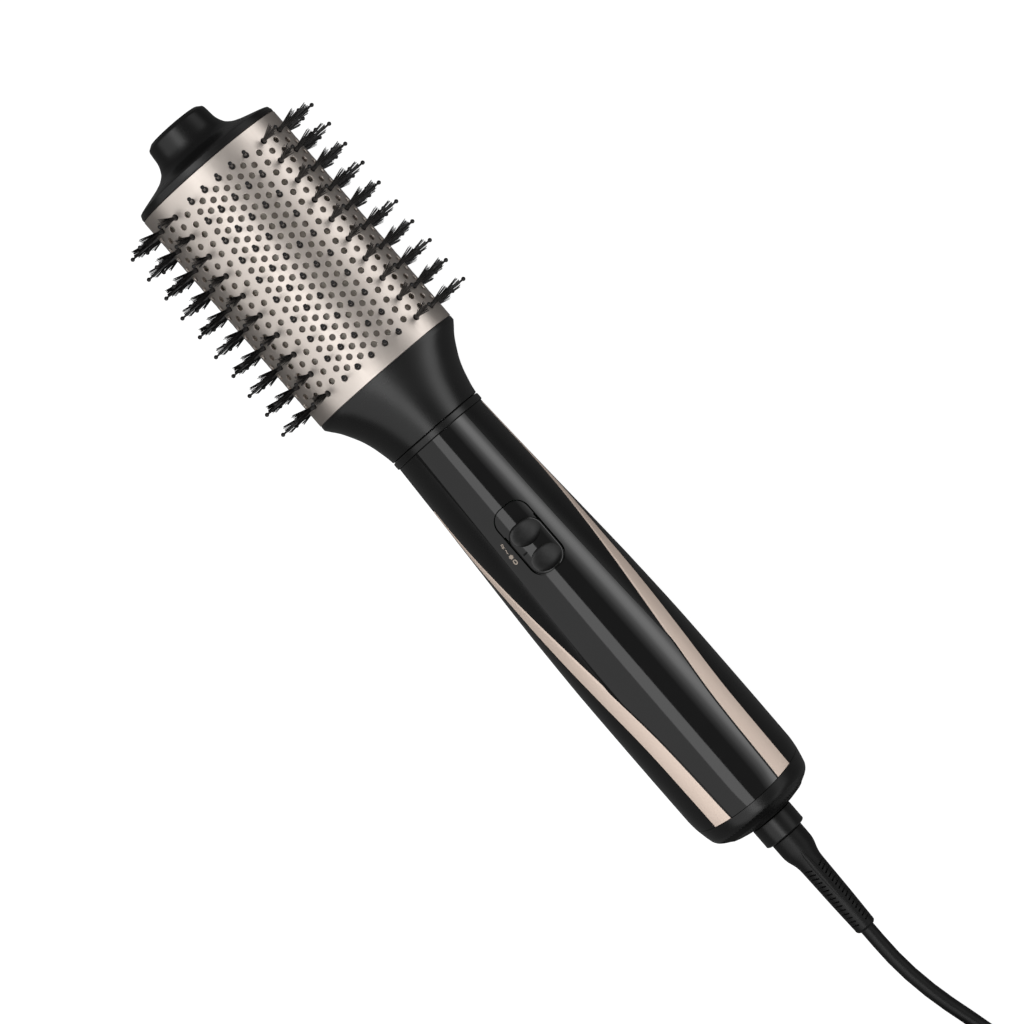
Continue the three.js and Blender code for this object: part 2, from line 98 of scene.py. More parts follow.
# Each law gives, in mm, a size or an edge's distance from the middle at a place along the handle.
half_width = law([
    (158.4, 20.65), (184, 21.8), (215, 23.4), (246, 24.8), (276, 25.5), (305, 25.58),
    (333, 25.48), (336.5, 25.28), (341, 24.55), (345.2, 23.55),
])
depth_share = law([(158.4, 1), (215, 0.955), (276, 0.925), (341, 0.918), (350, 0.918)])
panel_edge = law([(158.4, 12.4), (200, 13), (240, 14.2), (274, 15.5)])
INLAY_START = {"left": 158.6, "right": 178.5}
inlay_inner = law([
    (160, 20.42), (168, 20.68), (176, 20.98), (184, 21.28), (192, 21.42), (199, 21.38), (218, 20.6),
    (237, 19.2), (256, 17.4), (275, 15.5), (305, 12.8), (341, 11.5),
])
inlay_outer = law([
    (160, 20.7), (168, 21.07), (176, 21.43), (184, 21.77), (192, 22.1), (208, 22.6), (237, 22.5),
    (256, 22), (275, 21), (305, 19.3), (341, 18.7),
])


# ---------------------------------------------------------------- modelling helpers
def deselect():
    bpy.ops.object.select_all(action="DESELECT")


def fresh(name):
    """Names the primitive that was just added."""
    piece = bpy.context.active_object
    piece.name = piece.data.name = name
    return piece


def only(piece):
    deselect()
    piece.select_set(True)
    bpy.context.view_layer.objects.active = piece


def edit(piece, mode="VERT"):
    """Opens the piece for editing with all of it selected."""
    only(piece)
    bpy.ops.object.mode_set(mode="EDIT")
    bpy.ops.mesh.select_mode(type=mode)
    bpy.ops.mesh.select_all(action="SELECT")


def leave():
    bpy.ops.object.mode_set(mode="OBJECT")


def clean(piece, gap=0.004):
    """Merges doubles and turns the faces outwards."""
    edit(piece)
    bpy.ops.mesh.remove_doubles(threshold=gap)
    bpy.ops.mesh.normals_make_consistent(inside=False)
    leave()
    return piece


def modify(piece, kind, **settings):
    """Adds a modifier with its settings and applies it."""
    only(piece)
    modifier = piece.modifiers.new(kind.title(), kind)
    for name, value in settings.items():
        setattr(modifier, name, value)
    bpy.ops.object.modifier_apply(modifier=modifier.name)
    return piece


def join(first, *others):
    deselect()
    for piece in (first, *others):
        piece.select_set(True)
    bpy.context.view_layer.objects.active = first
    bpy.ops.object.join()
    return first


def moved(piece, matrix):
    """Moves the piece's points, and leaves its object at the origin."""
    piece.data.transform(matrix)
    piece.data.update()
    return piece


def copied(piece, name):
    twin = bpy.data.objects.new(name, piece.data.copy())
    twin.data.name = name
    bpy.context.scene.collection.objects.link(twin)
    return twin


def cut_with(piece, tool, operation="DIFFERENCE"):
    """Cuts the tool out of the piece and throws the tool away."""
    modify(piece, "BOOLEAN", object=tool, operation=operation, solver="EXACT")
    bpy.data.objects.remove(tool)
    return piece


def loft(name, stations, sides=96, ends="closed"):
    """A ring carried along x through (x, half width, half depth), one extrusion for each station."""
    deselect()
    bpy.ops.mesh.primitive_circle_add(vertices=sides, radius=1, rotation=(0, math.pi / 2, 0))
    piece = fresh(name)
    bpy.ops.object.transform_apply(location=False, rotation=True, scale=False)
    edit(piece)
    stations = [(s[0], s[1], s[-1]) for s in stations]
    x, wide, deep = stations[0]
    bpy.ops.transform.resize(value=(1, wide, deep), center_override=(0, 0, 0))
    bpy.ops.transform.translate(value=(x, 0, 0))
    for (x0, wide0, deep0), (x1, wide1, deep1) in zip(stations, stations[1:]):
        bpy.ops.mesh.extrude_region_move(TRANSFORM_OT_translate={"value": (x1 - x0, 0, 0)})
        bpy.ops.transform.resize(value=(1, wide1 / wide0, deep1 / deep0), center_override=(x1, 0, 0))
    if ends == "closed":
        bpy.ops.mesh.select_all(action="SELECT")
        bpy.ops.mesh.fill_holes(sides=0)
    if ends == "pipe":
        bpy.ops.mesh.select_all(action="DESELECT")
        bpy.ops.mesh.select_non_manifold()
        bpy.ops.mesh.bridge_edge_loops()
    leave()
    return clean(piece)


def block(name, low, high):
    """A box between two corners."""
    deselect()
    bpy.ops.mesh.primitive_cube_add(size=1)
    piece = fresh(name)
    size = Vector(high) - Vector(low)
    middle = (Vector(high) + Vector(low)) / 2
    return moved(piece, Matrix.Translation(middle) @ Matrix.Diagonal((*size, 1)))


def draped(name, rows, columns, place):
    """A grid whose points are laid by place(row share, column share)."""
    deselect()
    bpy.ops.mesh.primitive_grid_add(x_subdivisions=rows, y_subdivisions=columns, size=2)
    piece = fresh(name)
    for vertex in piece.data.vertices:
        vertex.co = place((vertex.co.x + 1) / 2, (vertex.co.y + 1) / 2)
    piece.data.update()
    return piece


def face_up(piece, away_from):
    """Turns an open sheet's faces away from a point."""
    polygon = piece.data.polygons[len(piece.data.polygons) // 2]
    if polygon.normal.dot(polygon.center - Vector(away_from)) < 0:
        piece.data.flip_normals()
    return piece


def settle(piece, body, slot, *replaced, smooth=32):
    """Moves the finished piece from the brush's own frame to where the brush lies, and ties it."""
    moved(piece, TO_ROW_MM)
    return tie(piece, body, slot, *replaced, smooth=smooth)


def tie(piece, body, slot, *replaced, smooth=32):
    """Shades the piece smooth up to that many degrees, ties it to its body and hides the nodes it replaces;
    the slot it is given is not used.
    """
    if smooth:
        only(piece)
        bpy.ops.object.shade_smooth_by_angle(angle=math.radians(smooth))
    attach(piece, body)
    if replaced:
        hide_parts(*replaced)
    return piece


# ---------------------------------------------------------------- camera
CAMERA_TARGET = Vector((198.85, 1.31, 0))
CAMERA_DISTANCE = 1655.5
CAMERA_ROLL = math.radians(49.13)
LENS, SENSOR = 151.2, 36
NEAREST, FURTHEST = 0.05, 50


def aim_camera():
    data = bpy.data.cameras.new("camera")
    camera = bpy.data.objects.new("camera", data)
    bpy.context.scene.collection.objects.link(camera)
    data.lens, data.sensor_width = LENS, SENSOR
    data.clip_start, data.clip_end = NEAREST, FURTHEST
    turn = LIE @ Matrix.Rotation(-CAMERA_ROLL, 4, "Z").inverted()
    place = TO_ROW_MM @ (CAMERA_TARGET + Vector((0, 0, CAMERA_DISTANCE)))
    camera.matrix_world = Matrix.Translation(place) @ turn
    bpy.context.scene.camera = camera


aim_camera()

# ---------------------------------------------------------------- the cord's route
CORD_RADIUS = 3.0
# The route is in mm where the brush lies: out of the strain relief, round the coil, on to the plug.
LEAD = [
    (201.5, 0, 19.45), (205, 0, 19.25), (212, 0, 18.85), (220, 0.2, 18.1), (229, 1, 16.4),
    (239, 2.6, 13), (248, 4.6, 9.2), (257, 7, 6.1), (266, 9.3, 4.5), (275, 11.5, 4), (283, 13.2, 4),
    (293, 14.6, 4),
]
COIL = Vector((303.5, -24, 0))
BUNDLE_RADIUS = 33
COIL_LAYERS = [(39, 4), (33, 4), (27, 4), (27, 10), (33, 10), (39, 10), (33, 16), (39, 16)]
TAIL = [
    (313.5, 15, 15.9), (320, 15, 15.0), (327.5, 15, 13.2), (332, 15, 12.1), (337, 15, 11.3),
    (343, 15, 11),
]
TURN_STEPS = 24
CROSSING = 0.2


def coil_points():
    """Eight turns, clockwise from above; each moves to the next one's place near its end."""
    points = []
    for turn, (radius, height) in enumerate(COIL_LAYERS):
        after = COIL_LAYERS[min(turn + 1, len(COIL_LAYERS) - 1)]
        for step in range(TURN_STEPS):
            share = ease(1 - CROSSING, 1, step / TURN_STEPS)
            r = radius + (after[0] - radius) * share
            z = height + (after[1] - height) * share
            angle = math.pi / 2 - 2 * math.pi * step / TURN_STEPS
            points.append((COIL.x + r * math.cos(angle), COIL.y + r * math.sin(angle), z))
    points.append((COIL.x, COIL.y + COIL_LAYERS[-1][0], COIL_LAYERS[-1][1]))
    return points


cord_route = [Vector(p) * MM for p in [*LEAD, *coil_points(), *TAIL]]


def cord():
    data = bpy.data.curves.new("mains_cord", "CURVE")
    data.dimensions = "3D"
    line = data.splines.new("POLY")
    line.points.add(len(cord_route) - 1)
    for point, place in zip(line.points, cord_route):
        point.co = (*place, 1)
    line.use_smooth = True
    data.bevel_depth = CORD_RADIUS * MM
    data.bevel_resolution = 5
    data.use_fill_caps = True
    piece = bpy.data.objects.new("mains_cord", data)
    bpy.context.scene.collection.objects.link(piece)
    only(piece)
    bpy.ops.object.convert(target="MESH")
    piece = fresh("mains_cord")
    clean(piece, 0.00001)
    return tie(piece, "brush", "cord_pvc", "cord_lead", "cord_coil", "cord_tail")


PLUG_AT = Matrix.Translation(Vector((0, 15, 11)))
PRONG_ASIDE = 9.5


def plug():
    relief = loft("plug_relief", [
        (343.3, 3.5), (343.4, 3.9), (346.5, 4.1), (346.7, 3.6), (348, 3.65), (348.2, 4.2), (350, 4.3),
        (350.2, 3.7), (351.5, 3.75), (351.7, 4.4), (353.5, 4.5), (353.7, 3.8), (355, 3.9), (355.2, 4.6),
        (357, 4.7), (357.2, 4), (358.5, 4.1), (358.7, 4.9), (362, 5.1), (365.3, 5.4),
    ], sides=32)
    width = law([
        (365.6, 7.5), (367, 9), (371.6, 12), (379.6, 16.2), (390, 17.35), (393, 17.3), (393.6, 16.6),
    ])
    share = law([(365.6, 1), (371.6, 0.8), (379.6, 0.645), (393.6, 0.62)])
    body = loft("plug_body_moulded", [
        (x, width(x), width(x) * share(x)) for x in [365.6, 366, *spread(367, 392.6, 22), 393.1, 393.6]
    ], sides=64)
    pieces = [(relief, "cord_pvc", "plug_strain_relief"), (body, "cord_pvc", "plug_body")]
    for name, side in (("left", 1), ("right", -1)):
        pin = loft(f"plug_prong_{name}", [
            (393.9, 2.35), (394, 2.4), (403, 2.4), (403.1, 2.3), (411.4, 2.3), (412.4, 1.9), (412.9, 1.3),
        ], sides=24)
        moved(pin, Matrix.Translation(Vector((0, side * PRONG_ASIDE, 0))))
        pieces.append((pin, "nickel_pins", f"plug_pin_{name}"))
    for piece, slot, node in pieces:
        moved(piece, Matrix.Scale(MM, 4) @ PLUG_AT)
        tie(piece, "brush", slot, node)
    return [piece for piece, _, _ in pieces]


def coil_strap():
    """A flat hook-and-loop strap round the bundle of turns."""
    half_wide, half, corner, thickness = 6, 10.2, 3.0, 0.5
    middle, low, high = COIL.y - BUNDLE_RADIUS, 0.7, 19.3
    strap = block(
        "cord_strap", (COIL.x - half_wide, middle - half, low), (COIL.x + half_wide, middle + half, high)
    )
    edit(strap, "EDGE")
    bpy.ops.mesh.select_all(action="DESELECT")
    leave()
    for edge in strap.data.edges:
        ends = [strap.data.vertices[i].co for i in edge.vertices]
        edge.select = abs(ends[0].x - ends[1].x) > half_wide
    only(strap)
    bpy.ops.object.mode_set(mode="EDIT")
    bpy.ops.mesh.bevel(offset=corner, segments=6)
    bpy.ops.mesh.select_mode(type="FACE")
    leave()
    for polygon in strap.data.polygons:
        polygon.select = abs(polygon.normal.x) > 0.9
    bpy.ops.object.mode_set(mode="EDIT")
    bpy.ops.mesh.delete(type="FACE")
    leave()
    modify(strap, "SOLIDIFY", thickness=thickness, offset=1)
    clean(strap)
    moved(strap, Matrix.Scale(MM, 4))
    return tie(strap, "brush", "black_satin_abs", "coil_tie")


mains_cord = cord()
plug_pieces = plug()
strap = coil_strap()


# ---------------------------------------------------------------- head
def oval_turns(count=3000):
    """The oval's turn at each distance along its surface from the middle of the front."""
    wide, deep = BARREL["wide"], BARREL["deep"]
    distances, turns = [0.0], [0.0]
    step = math.pi / 2 / count
    for i in range(count):
        t = (i + 0.5) * step
        distances.append(distances[-1] + step * math.hypot(wide * math.cos(t), deep * math.sin(t)))
        turns.append((i + 1) * step)
    return distances, turns


DISTANCES, TURNS = oval_turns()
QUARTER = DISTANCES[-1]


def oval_at(distance):
    """The turn round the oval at any distance from the middle of the front, either way."""
    quarters = math.floor(distance / QUARTER)
    rest = distance - quarters * QUARTER
    if quarters % 2:
        rest = QUARTER - rest
    i = min(max(bisect.bisect_left(DISTANCES, rest), 1), len(TURNS) - 1)
    d0, d1 = DISTANCES[i - 1], DISTANCES[i]
    turn = TURNS[i - 1] + (TURNS[i] - TURNS[i - 1]) * (rest - d0) / (d1 - d0)
    return (quarters + 1) * math.pi / 2 - turn if quarters % 2 else quarters * math.pi / 2 + turn


def on_oval(x, distance, depth=0.0):
    """A point on the sleeve's outer surface, or that far under it."""
    turn = oval_at(distance)
    wide, deep = BARREL["wide"], BARREL["deep"]
    out = Vector((0, math.sin(turn) / wide, math.cos(turn) / deep)).normalized()
    return Vector((x, wide * math.sin(turn), deep * math.cos(turn))) - out * depth


COLUMN_PLACES = [0, 3.44, 6.88, 10.32, 13.76, 18.52, 23.32, 28.12, 32.92, 37.72, QUARTER]


def columns():
    """Distance round the oval of the forty columns of holes, from the middle of the front."""
    first = COLUMN_PLACES[:-1]
    back = [2 * QUARTER - d for d in reversed(COLUMN_PLACES[1:])]
    half = [*first, *back]
    return [*half, *[2 * QUARTER + d for d in half]]


HOLE_RADIUS = 1.26
HOLE_SIDES = 12
HOLE_ROWS = 37
RIM = 0.13
END_CHAMFER = 0.25


def hole_rings(point, x, s, across):
    """One hole's cell, as rings of points: its edge, the rounded rim, the bore, and its edge inside."""
    low, high = x - HOLE_STEP, x + HOLE_STEP
    left, near_left, _, near_right, right = across
    outline = [
        (x, right), (high, right), (high, near_right), (high, s), (high, near_left), (high, left),
        (x, left), (low, left), (low, near_left), (low, s), (low, near_right), (low, right),
    ]
    turns = [2 * math.pi * i / HOLE_SIDES for i in range(HOLE_SIDES)]

    def circle(radius, depth):
        return [point(x + radius * math.sin(t), s + radius * math.cos(t), depth) for t in turns]

    wall = BARREL["wall"]
    edge = [point(px, ps, 0.0) for px, ps in outline]
    under = [point(px, ps, wall) for px, ps in outline]
    return [
        edge, circle(HOLE_RADIUS + RIM, 0.0), circle(HOLE_RADIUS + RIM * 0.3, RIM * 0.35),
        circle(HOLE_RADIUS, RIM), circle(HOLE_RADIUS, wall), under,
    ]


def barrel_sleeve():
    """The perforated sleeve: one cell of mesh round each hole, wrapped on the oval."""
    places = columns()
    around = 4 * QUARTER
    wall, chamfer = BARREL["wall"], END_CHAMFER
    start, end = BARREL["start"], BARREL["end"]
    start_in, end_in = start + chamfer, end - chamfer
    first_x, last_x = FIRST_ROW - HOLE_STEP, FIRST_ROW + HOLE_ROWS * HOLE_STEP
    tip_end = [(first_x, wall), (start_in, wall), (start, chamfer), (start_in, 0.0), (first_x, 0.0)]
    neck_end = [(last_x, 0.0), (end_in, 0.0), (end, chamfer), (end_in, wall), (last_x, wall)]
    points, index, faces = [], {}, []

    def point(x, s, depth):
        key = (round(x, 3), round(s % around, 3) % round(around, 3), depth)
        if key not in index:
            index[key] = len(points)
            points.append(on_oval(x, s % around, depth))
        return index[key]

    for number, s in enumerate(places):
        before = places[number - 1] - (around if number == 0 else 0)
        after = places[0] + around if number == len(places) - 1 else places[number + 1]
        left, right = (before + s) / 2, (s + after) / 2
        across = [left, (left + s) / 2, s, (s + right) / 2, right]
        odd = number % 2
        front, rear = tip_end, neck_end
        if odd:
            front = [(first_x + HOLE_STEP, wall), *tip_end, (first_x + HOLE_STEP, 0.0)]
            rear = [(last_x - HOLE_STEP, 0.0), *neck_end, (last_x - HOLE_STEP, wall)]
        for (x0, d0), (x1, d1) in [*zip(front, front[1:]), *zip(rear, rear[1:])]:
            for s0, s1 in zip(across, across[1:]):
                faces.append([point(x0, s0, d0), point(x1, s0, d1), point(x1, s1, d1), point(x0, s1, d0)])
        for row in range(odd, HOLE_ROWS, 2):
            rings = hole_rings(point, FIRST_ROW + row * HOLE_STEP, s, across)
            for outer, inner in zip(rings, rings[1:]):
                for i in range(HOLE_SIDES):
                    j = (i + 1) % HOLE_SIDES
                    faces.append([outer[i], inner[i], inner[j], outer[j]])
    mesh = bpy.data.meshes.new("barrel_sleeve_perforated")
    mesh.from_pydata(points, [], faces)
    piece = bpy.data.objects.new("barrel_sleeve_perforated", mesh)
    bpy.context.scene.collection.objects.link(piece)
    clean(piece, 0.001)
    return settle(piece, "brush", "champagne_metal", "barrel_sleeve")


LINING_DEPTH = 3.0
LINING_START, LINING_LENGTH = 24, 99


def mica_lining():
    """The insulating sheet rolled inside the sleeve, under the strips, seen through the holes."""
    def place(row, column):
        around = 4 * QUARTER
        x = LINING_START + row * LINING_LENGTH
        return on_oval(x, (column * around) % around, LINING_DEPTH)

    lining = face_up(draped("mica_lining", 2, 96, place), (74, 0, 0))
    modify(lining, "SOLIDIFY", thickness=0.3, offset=-1)
    clean(lining, 0.002)
    return settle(lining, "brush", "mica")


def true_round(piece, outward, limit=0.985):
    """Shades the faces that lie on a known surface with that surface's own normals."""
    mesh = piece.data
    normals = [corner.vector.copy() for corner in mesh.corner_normals]
    back = TO_ROW_MM.inverted()
    turn = LIE.to_3x3()
    for polygon in mesh.polygons:
        if (turn @ outward(back @ polygon.center)).dot(polygon.normal) > limit:
            for loop in polygon.loop_indices:
                place = back @ mesh.vertices[mesh.loops[loop].vertex_index].co
                normals[loop] = turn @ outward(place)
    mesh.normals_split_custom_set(normals)
    return piece


def oval_outward(place):
    return Vector((0, place.y / BARREL["wide"] ** 2, place.z / BARREL["deep"] ** 2)).normalized()


def tip_cap():
    share = law([(0, 0.78), (14, 0.72), (21.5, BARREL["deep"] / BARREL["wide"])])
    flare = law([
        (2.6, 13.45), (3.4, 13.8), (5, 13.98), (8.3, 14.3), (12.2, 15.8), (14.5, 18.3), (16, 21.6),
        (17.2, 25.4), (18.3, 29.2), (19.0, 31.4),
    ])
    sizes = [
        (1.25, 11.2), (1.3, 11.5), (1.45, 11.75), (1.9, 12.425), (2.4, 13.175),
        *[(x, flare(x)) for x in [2.6, 2.9, 3.2, *spread(3.6, 11, 12), *spread(11.5, 19.0, 24)]],
        (19.35, 32.2), (19.8, 32.45), (20.4, 32.6), (20.75, 32.85), (21.85, 32.85), (22.0, 32.65),
        (22.0, 29.5), (19.5, 28.5),
    ]
    cap = loft("tip_cap_moulded", [(x, r, r * share(x)) for x, r in sizes], sides=128)
    return settle(cap, "brush", "black_satin_abs", "tip_cap", smooth=28)


STAND_UP = Matrix.Rotation(-math.pi / 2, 4, "Y")
PIN_SIDES = 8
ROOT = -1.3


def ball_pin(height=14.5):
    """A pin with a collar at its root and a ball on its end, standing up."""
    ball = height - 0.86
    stations = [
        (ROOT, 0.9), (0.35, 0.9), (0.55, 0.62), (1.2, 0.52), (ball - 0.8, 0.4), (ball - 0.62, 0.6),
        (ball - 0.3, 0.81), (ball, 0.87), (ball + 0.35, 0.79), (ball + 0.66, 0.55), (height, 0.12),
    ]
    return moved(loft("pin", stations, sides=PIN_SIDES), STAND_UP)


BRISTLES_IN_TUFT = 30
FAN_START, FAN_WIDTH = -12, 20
BRISTLE_LENGTH = 10.8


def tuft(name):
    """A bundle of bristles fanned along the brush, with one ball pin in its middle."""
    root = moved(loft(name, [(ROOT, 0.95), (1.0, 0.95), (2.4, 0.72)], sides=PIN_SIDES), STAND_UP)
    bristles = []
    for i in range(BRISTLES_IN_TUFT):
        share = i / (BRISTLES_IN_TUFT - 1)
        lean = math.radians(FAN_START + FAN_WIDTH * share + HAND.uniform(-1.2, 1.2))
        aside = math.radians(HAND.uniform(-4, 4))
        length = BRISTLE_LENGTH + HAND.uniform(-0.45, 0.45) - 9 * max(lean, 0)
        deselect()
        bpy.ops.mesh.primitive_cone_add(
            vertices=3, radius1=0.2, radius2=0.1, depth=length, location=(0, 0, length / 2),
        )
        bristle = fresh("bristle")
        bpy.ops.object.transform_apply(location=True, rotation=True, scale=True)
        turn = Matrix.Rotation(lean, 4, "Y") @ Matrix.Rotation(aside, 4, "X")
        start = Matrix.Translation(Vector((1.5 * math.sin(lean), HAND.uniform(-0.45, 0.45), 0.2)))
        bristles.append(moved(bristle, start @ turn))
    return join(root, *bristles, ball_pin(13.9 + HAND.uniform(-0.5, 0.3)))


FOOT_LOW, FOOT_HIGH, FOOT_HALF = -2.25, -1.25, 1.7


def strip_of(name, rows_made):
    """One strip: its foot under the sleeve, and ten rows from the shapes given, taken in turn."""
    last_row = FIRST_ROW + (ROWS - 1) * ROW_STEP
    foot = block(name, (FIRST_ROW - 4.6, -FOOT_HALF, FOOT_LOW), (last_row + 3.6, FOOT_HALF, FOOT_HIGH))
    count = len(rows_made)
    for number, row in enumerate(rows_made):
        modify(
            row, "ARRAY", count=ROWS // count, use_relative_offset=False, use_constant_offset=True,
            constant_offset_displace=(ROW_STEP * count, 0, 0),
        )
        moved(row, Matrix.Translation(Vector((FIRST_ROW + number * ROW_STEP, 0, 0))))
    return join(foot, *rows_made)


def strips():
    """Five strips to a face: single pins on the front and back, tufts down the two sides."""
    tuft_strips = [strip_of(f"tufts_{i}", [tuft("tuft_a"), tuft("tuft_b")]) for i in range(3)]
    made = []
    for i in range(-2, 3):
        number = i + 3
        front = COLUMN_PLACES[2 * abs(i)] * (1 if i > 0 else -1)
        corner = COLUMN_PLACES[6 + 2 * (2 - abs(i))]
        side = corner if i <= 0 else 2 * QUARTER - corner
        shaped = tuft_strips[number % 3]
        for name, distance in (
            (f"front_{number}", front), (f"back_{number}", 2 * QUARTER - front),
            (f"left_{number}", side), (f"right_{number}", -side),
        ):
            place = on_oval(0, distance % (4 * QUARTER))
            out = oval_outward(place)
            lean = math.atan2(out.y, out.z)
            if name.startswith(("front", "back")):
                upright_lean = lean if place.z > 0 else lean - math.copysign(math.pi, lean)
                pin = moved(ball_pin(), Matrix.Rotation(upright_lean, 4, "X"))
                strip = strip_of(f"strip_{name}", [pin])
            else:
                strip = copied(shaped, f"strip_{name}")
            for polygon in strip.data.polygons:
                polygon.material_index = 1 if polygon.center.z < FOOT_HIGH + 0.01 else 0
            moved(strip, Matrix.Translation(place) @ Matrix.Rotation(-lean, 4, "X"))
            made.append(settle(strip, "brush", "bristle_nylon", f"bristle_strip_{name}"))
    for shape in tuft_strips:
        bpy.data.objects.remove(shape)
    return made


# ---------------------------------------------------------------- neck and handle
def neck_cone():
    flare = law([
        (128.35, 32.6), (129.6, 31.65), (133, 29), (137.3, 26.5), (141, 24.65), (145, 23.2), (149, 22.15),
        (152.7, 21.35), (154.5, 21.1),
    ])
    outside = [
        (126.1, 32.5), (126.15, 32.75), (126.4, 32.85), (127.9, 32.85), (128.15, 32.75),
        *[(x, flare(x)) for x in spread(128.35, 154.6, 40)], (154.9, 20.8),
    ]
    inside = [(154.9, 19.2), (145, 21), (137.3, 24.4), (129.4, 29.7), (126.1, 30.7)]
    neck = 20.75
    stations = [(x, r, min(r, neck) - (0 if r > neck else 0.02)) for x, r in outside]
    stations += [(x, r, neck - 2) for x, r in inside]
    cone = loft("neck_cone_moulded", stations, sides=128, ends="pipe")
    return settle(cone, "brush", "black_satin_abs", "neck_cone", smooth=26)


def neck_ring():
    ring = loft("neck_ring_moulded", [
        (155.2, 18.8), (155.2, 20.6), (155.3, 20.95), (155.6, 21.2), (157.9, 21.2), (158.15, 20.95),
        (158.25, 20.6), (158.25, 18.8),
    ], sides=128, ends="pipe")
    return settle(ring, "brush", "black_satin_abs", "neck_ring")


SEAM_SIDE, SEAM_BULGE = 338.0, 4.0


def rear_seam(angle):
    """Where the handle meets its end cap: further back over the front and back than at the sides."""
    return SEAM_SIDE + SEAM_BULGE * abs(math.cos(angle))


def on_handle(x, angle, inset=0.0):
    """A point of the handle's form. The angle runs from the front (0) round the left side."""
    x = x + (rear_seam(angle) - HANDLE_END) * ease(318, HANDLE_END, x)
    radius = half_width(x) - inset
    return Vector((x, radius * math.sin(angle), radius * depth_share(x) * math.cos(angle)))


def handle_outward(place):
    x = place.x
    share = depth_share(x)
    radius = math.hypot(place.y, place.z / share)
    slope = (half_width(x + 1) - half_width(x - 1)) / 2
    return Vector((-slope * radius, place.y, place.z / share ** 2)).normalized()


def angle_of(edge, x):
    return math.asin(min(edge / half_width(x), 0.9999))


PANEL_GAP = 0.02
INLAY_GAP = 0.07
MEETING_X = 274


def panel_side(x):
    """The panel's edge, which runs along the inlay from the place where the two meet."""
    edge = panel_edge(x) if x < MEETING_X else inlay_inner(x)
    return angle_of(edge - PANEL_GAP - (0.03 if x > MEETING_X else 0), x)


def handle_rows(first=HANDLE_START):
    """Where the sheets along the handle are divided: all at the same places, after their own start."""
    rows = [HANDLE_START + 0.15, *spread(HANDLE_START + 1.5, 300, 56), *spread(302, 340.6, 24)]
    return [first, *[x for x in rows if x > first + 0.1], HANDLE_END - 0.15]


def lay(name, rows, columns_at, inner=(0, 0, 0)):
    """A sheet on the handle: columns_at(x) gives the (angle, inset) of each column across it."""
    count = len(columns_at(rows[0]))

    def place(row, column):
        x = rows[round(row * (len(rows) - 1))]
        angle, inset = columns_at(x)[round(column * (count - 1))]
        return on_handle(x, angle, inset)

    sheet = draped(name, len(rows) - 1, count - 1, place)
    middle = sheet.data.polygons[len(sheet.data.polygons) // 2].center
    return face_up(sheet, (middle.x, 0, 0))


SLOT = {"start": 195.0, "end": 226.0, "half": 7.8, "corner": 6.0}
THUMB = {"start": 203.35, "end": 225.6, "half": 7.3, "corner": 5.7}
PANEL_WALL = 0.5
SHUTTER_DEPTH = 0.9


def rounded_outline(start, end, half, corner, count=96, inset=0.0):
    """Points round a slab with rounded corners, in plan, from a corner onwards."""
    start, end, half, corner = start + inset, end - inset, half - inset, max(corner - inset, 0.3)
    points = []
    quarter = count // 4
    for number, (cx, cy) in enumerate((
        (end - corner, half - corner), (start + corner, half - corner),
        (start + corner, corner - half), (end - corner, corner - half),
    )):
        for i in range(quarter):
            turn = math.pi / 2 * (number + i / (quarter - 1))
            points.append((cx + corner * math.cos(turn), cy + corner * math.sin(turn)))
    return points


def upright(name, outline, low, high):
    """A plan outline made into a solid between two heights."""
    deselect()
    bpy.ops.mesh.primitive_circle_add(vertices=len(outline), radius=1, fill_type="NGON")
    piece = fresh(name)
    for vertex, (x, y) in zip(piece.data.vertices, outline):
        vertex.co = (x, y, low)
    edit(piece)
    bpy.ops.mesh.extrude_region_move(TRANSFORM_OT_translate={"value": (0, 0, high - low)})
    bpy.ops.mesh.select_all(action="SELECT")
    bpy.ops.mesh.normals_make_consistent(inside=False)
    leave()
    return piece


def front_panel():
    def across(x):
        side = panel_side(x)
        soft = 0.12 / half_width(x)
        inner = [(a, 0.0) for a in spread(-side + soft, side - soft, 40)]
        return [(-side, 0.06), *inner, (side, 0.06)]

    panel = lay("front_panel_gloss", handle_rows(), across)
    modify(panel, "SOLIDIFY", thickness=PANEL_WALL, offset=-1)
    outline = rounded_outline(SLOT["start"], SLOT["end"], SLOT["half"], SLOT["corner"])
    cut_with(panel, upright("slot", outline, 15, 30))
    clean(panel)
    settle(panel, "brush", "black_gloss_panel", "front_panel")
    return true_round(panel, handle_outward)


def handle_shell():
    depth = 1.0

    def across(x):
        rest = [(2 * math.pi - a, inset) for a, inset in reversed(half(x, "right")[:-1])]
        return [*half(x, "left"), *rest]

    def half(x, name):
        side = panel_side(x) + 2 * PANEL_GAP / half_width(x)
        opened = ease(INLAY_START[name] - 0.8, INLAY_START[name] + 0.4, x)
        inner = max(angle_of(inlay_inner(x), x), side)
        outer = angle_of(inlay_outer(x), x)
        outer = inner + (outer - inner) * opened
        floor = depth * opened
        strip = [(side + (inner - side) * t, 0.0) for t in spread(0.02, 1, 8)]
        return [
            (side, 0.05), *strip, (inner + 0.0005, floor), (outer - 0.0005, floor), (outer, 0.0),
            *[(a, 0.0) for a in spread(outer + 0.02, math.pi, 36)],
        ]

    shell = lay("handle_shell_moulded", handle_rows(), across)
    modify(shell, "SOLIDIFY", thickness=0.8, offset=-1)
    clean(shell, 0.002)
    settle(shell, "brush", "black_satin_abs", "handle_shell")
    return true_round(shell, handle_outward, 0.97)


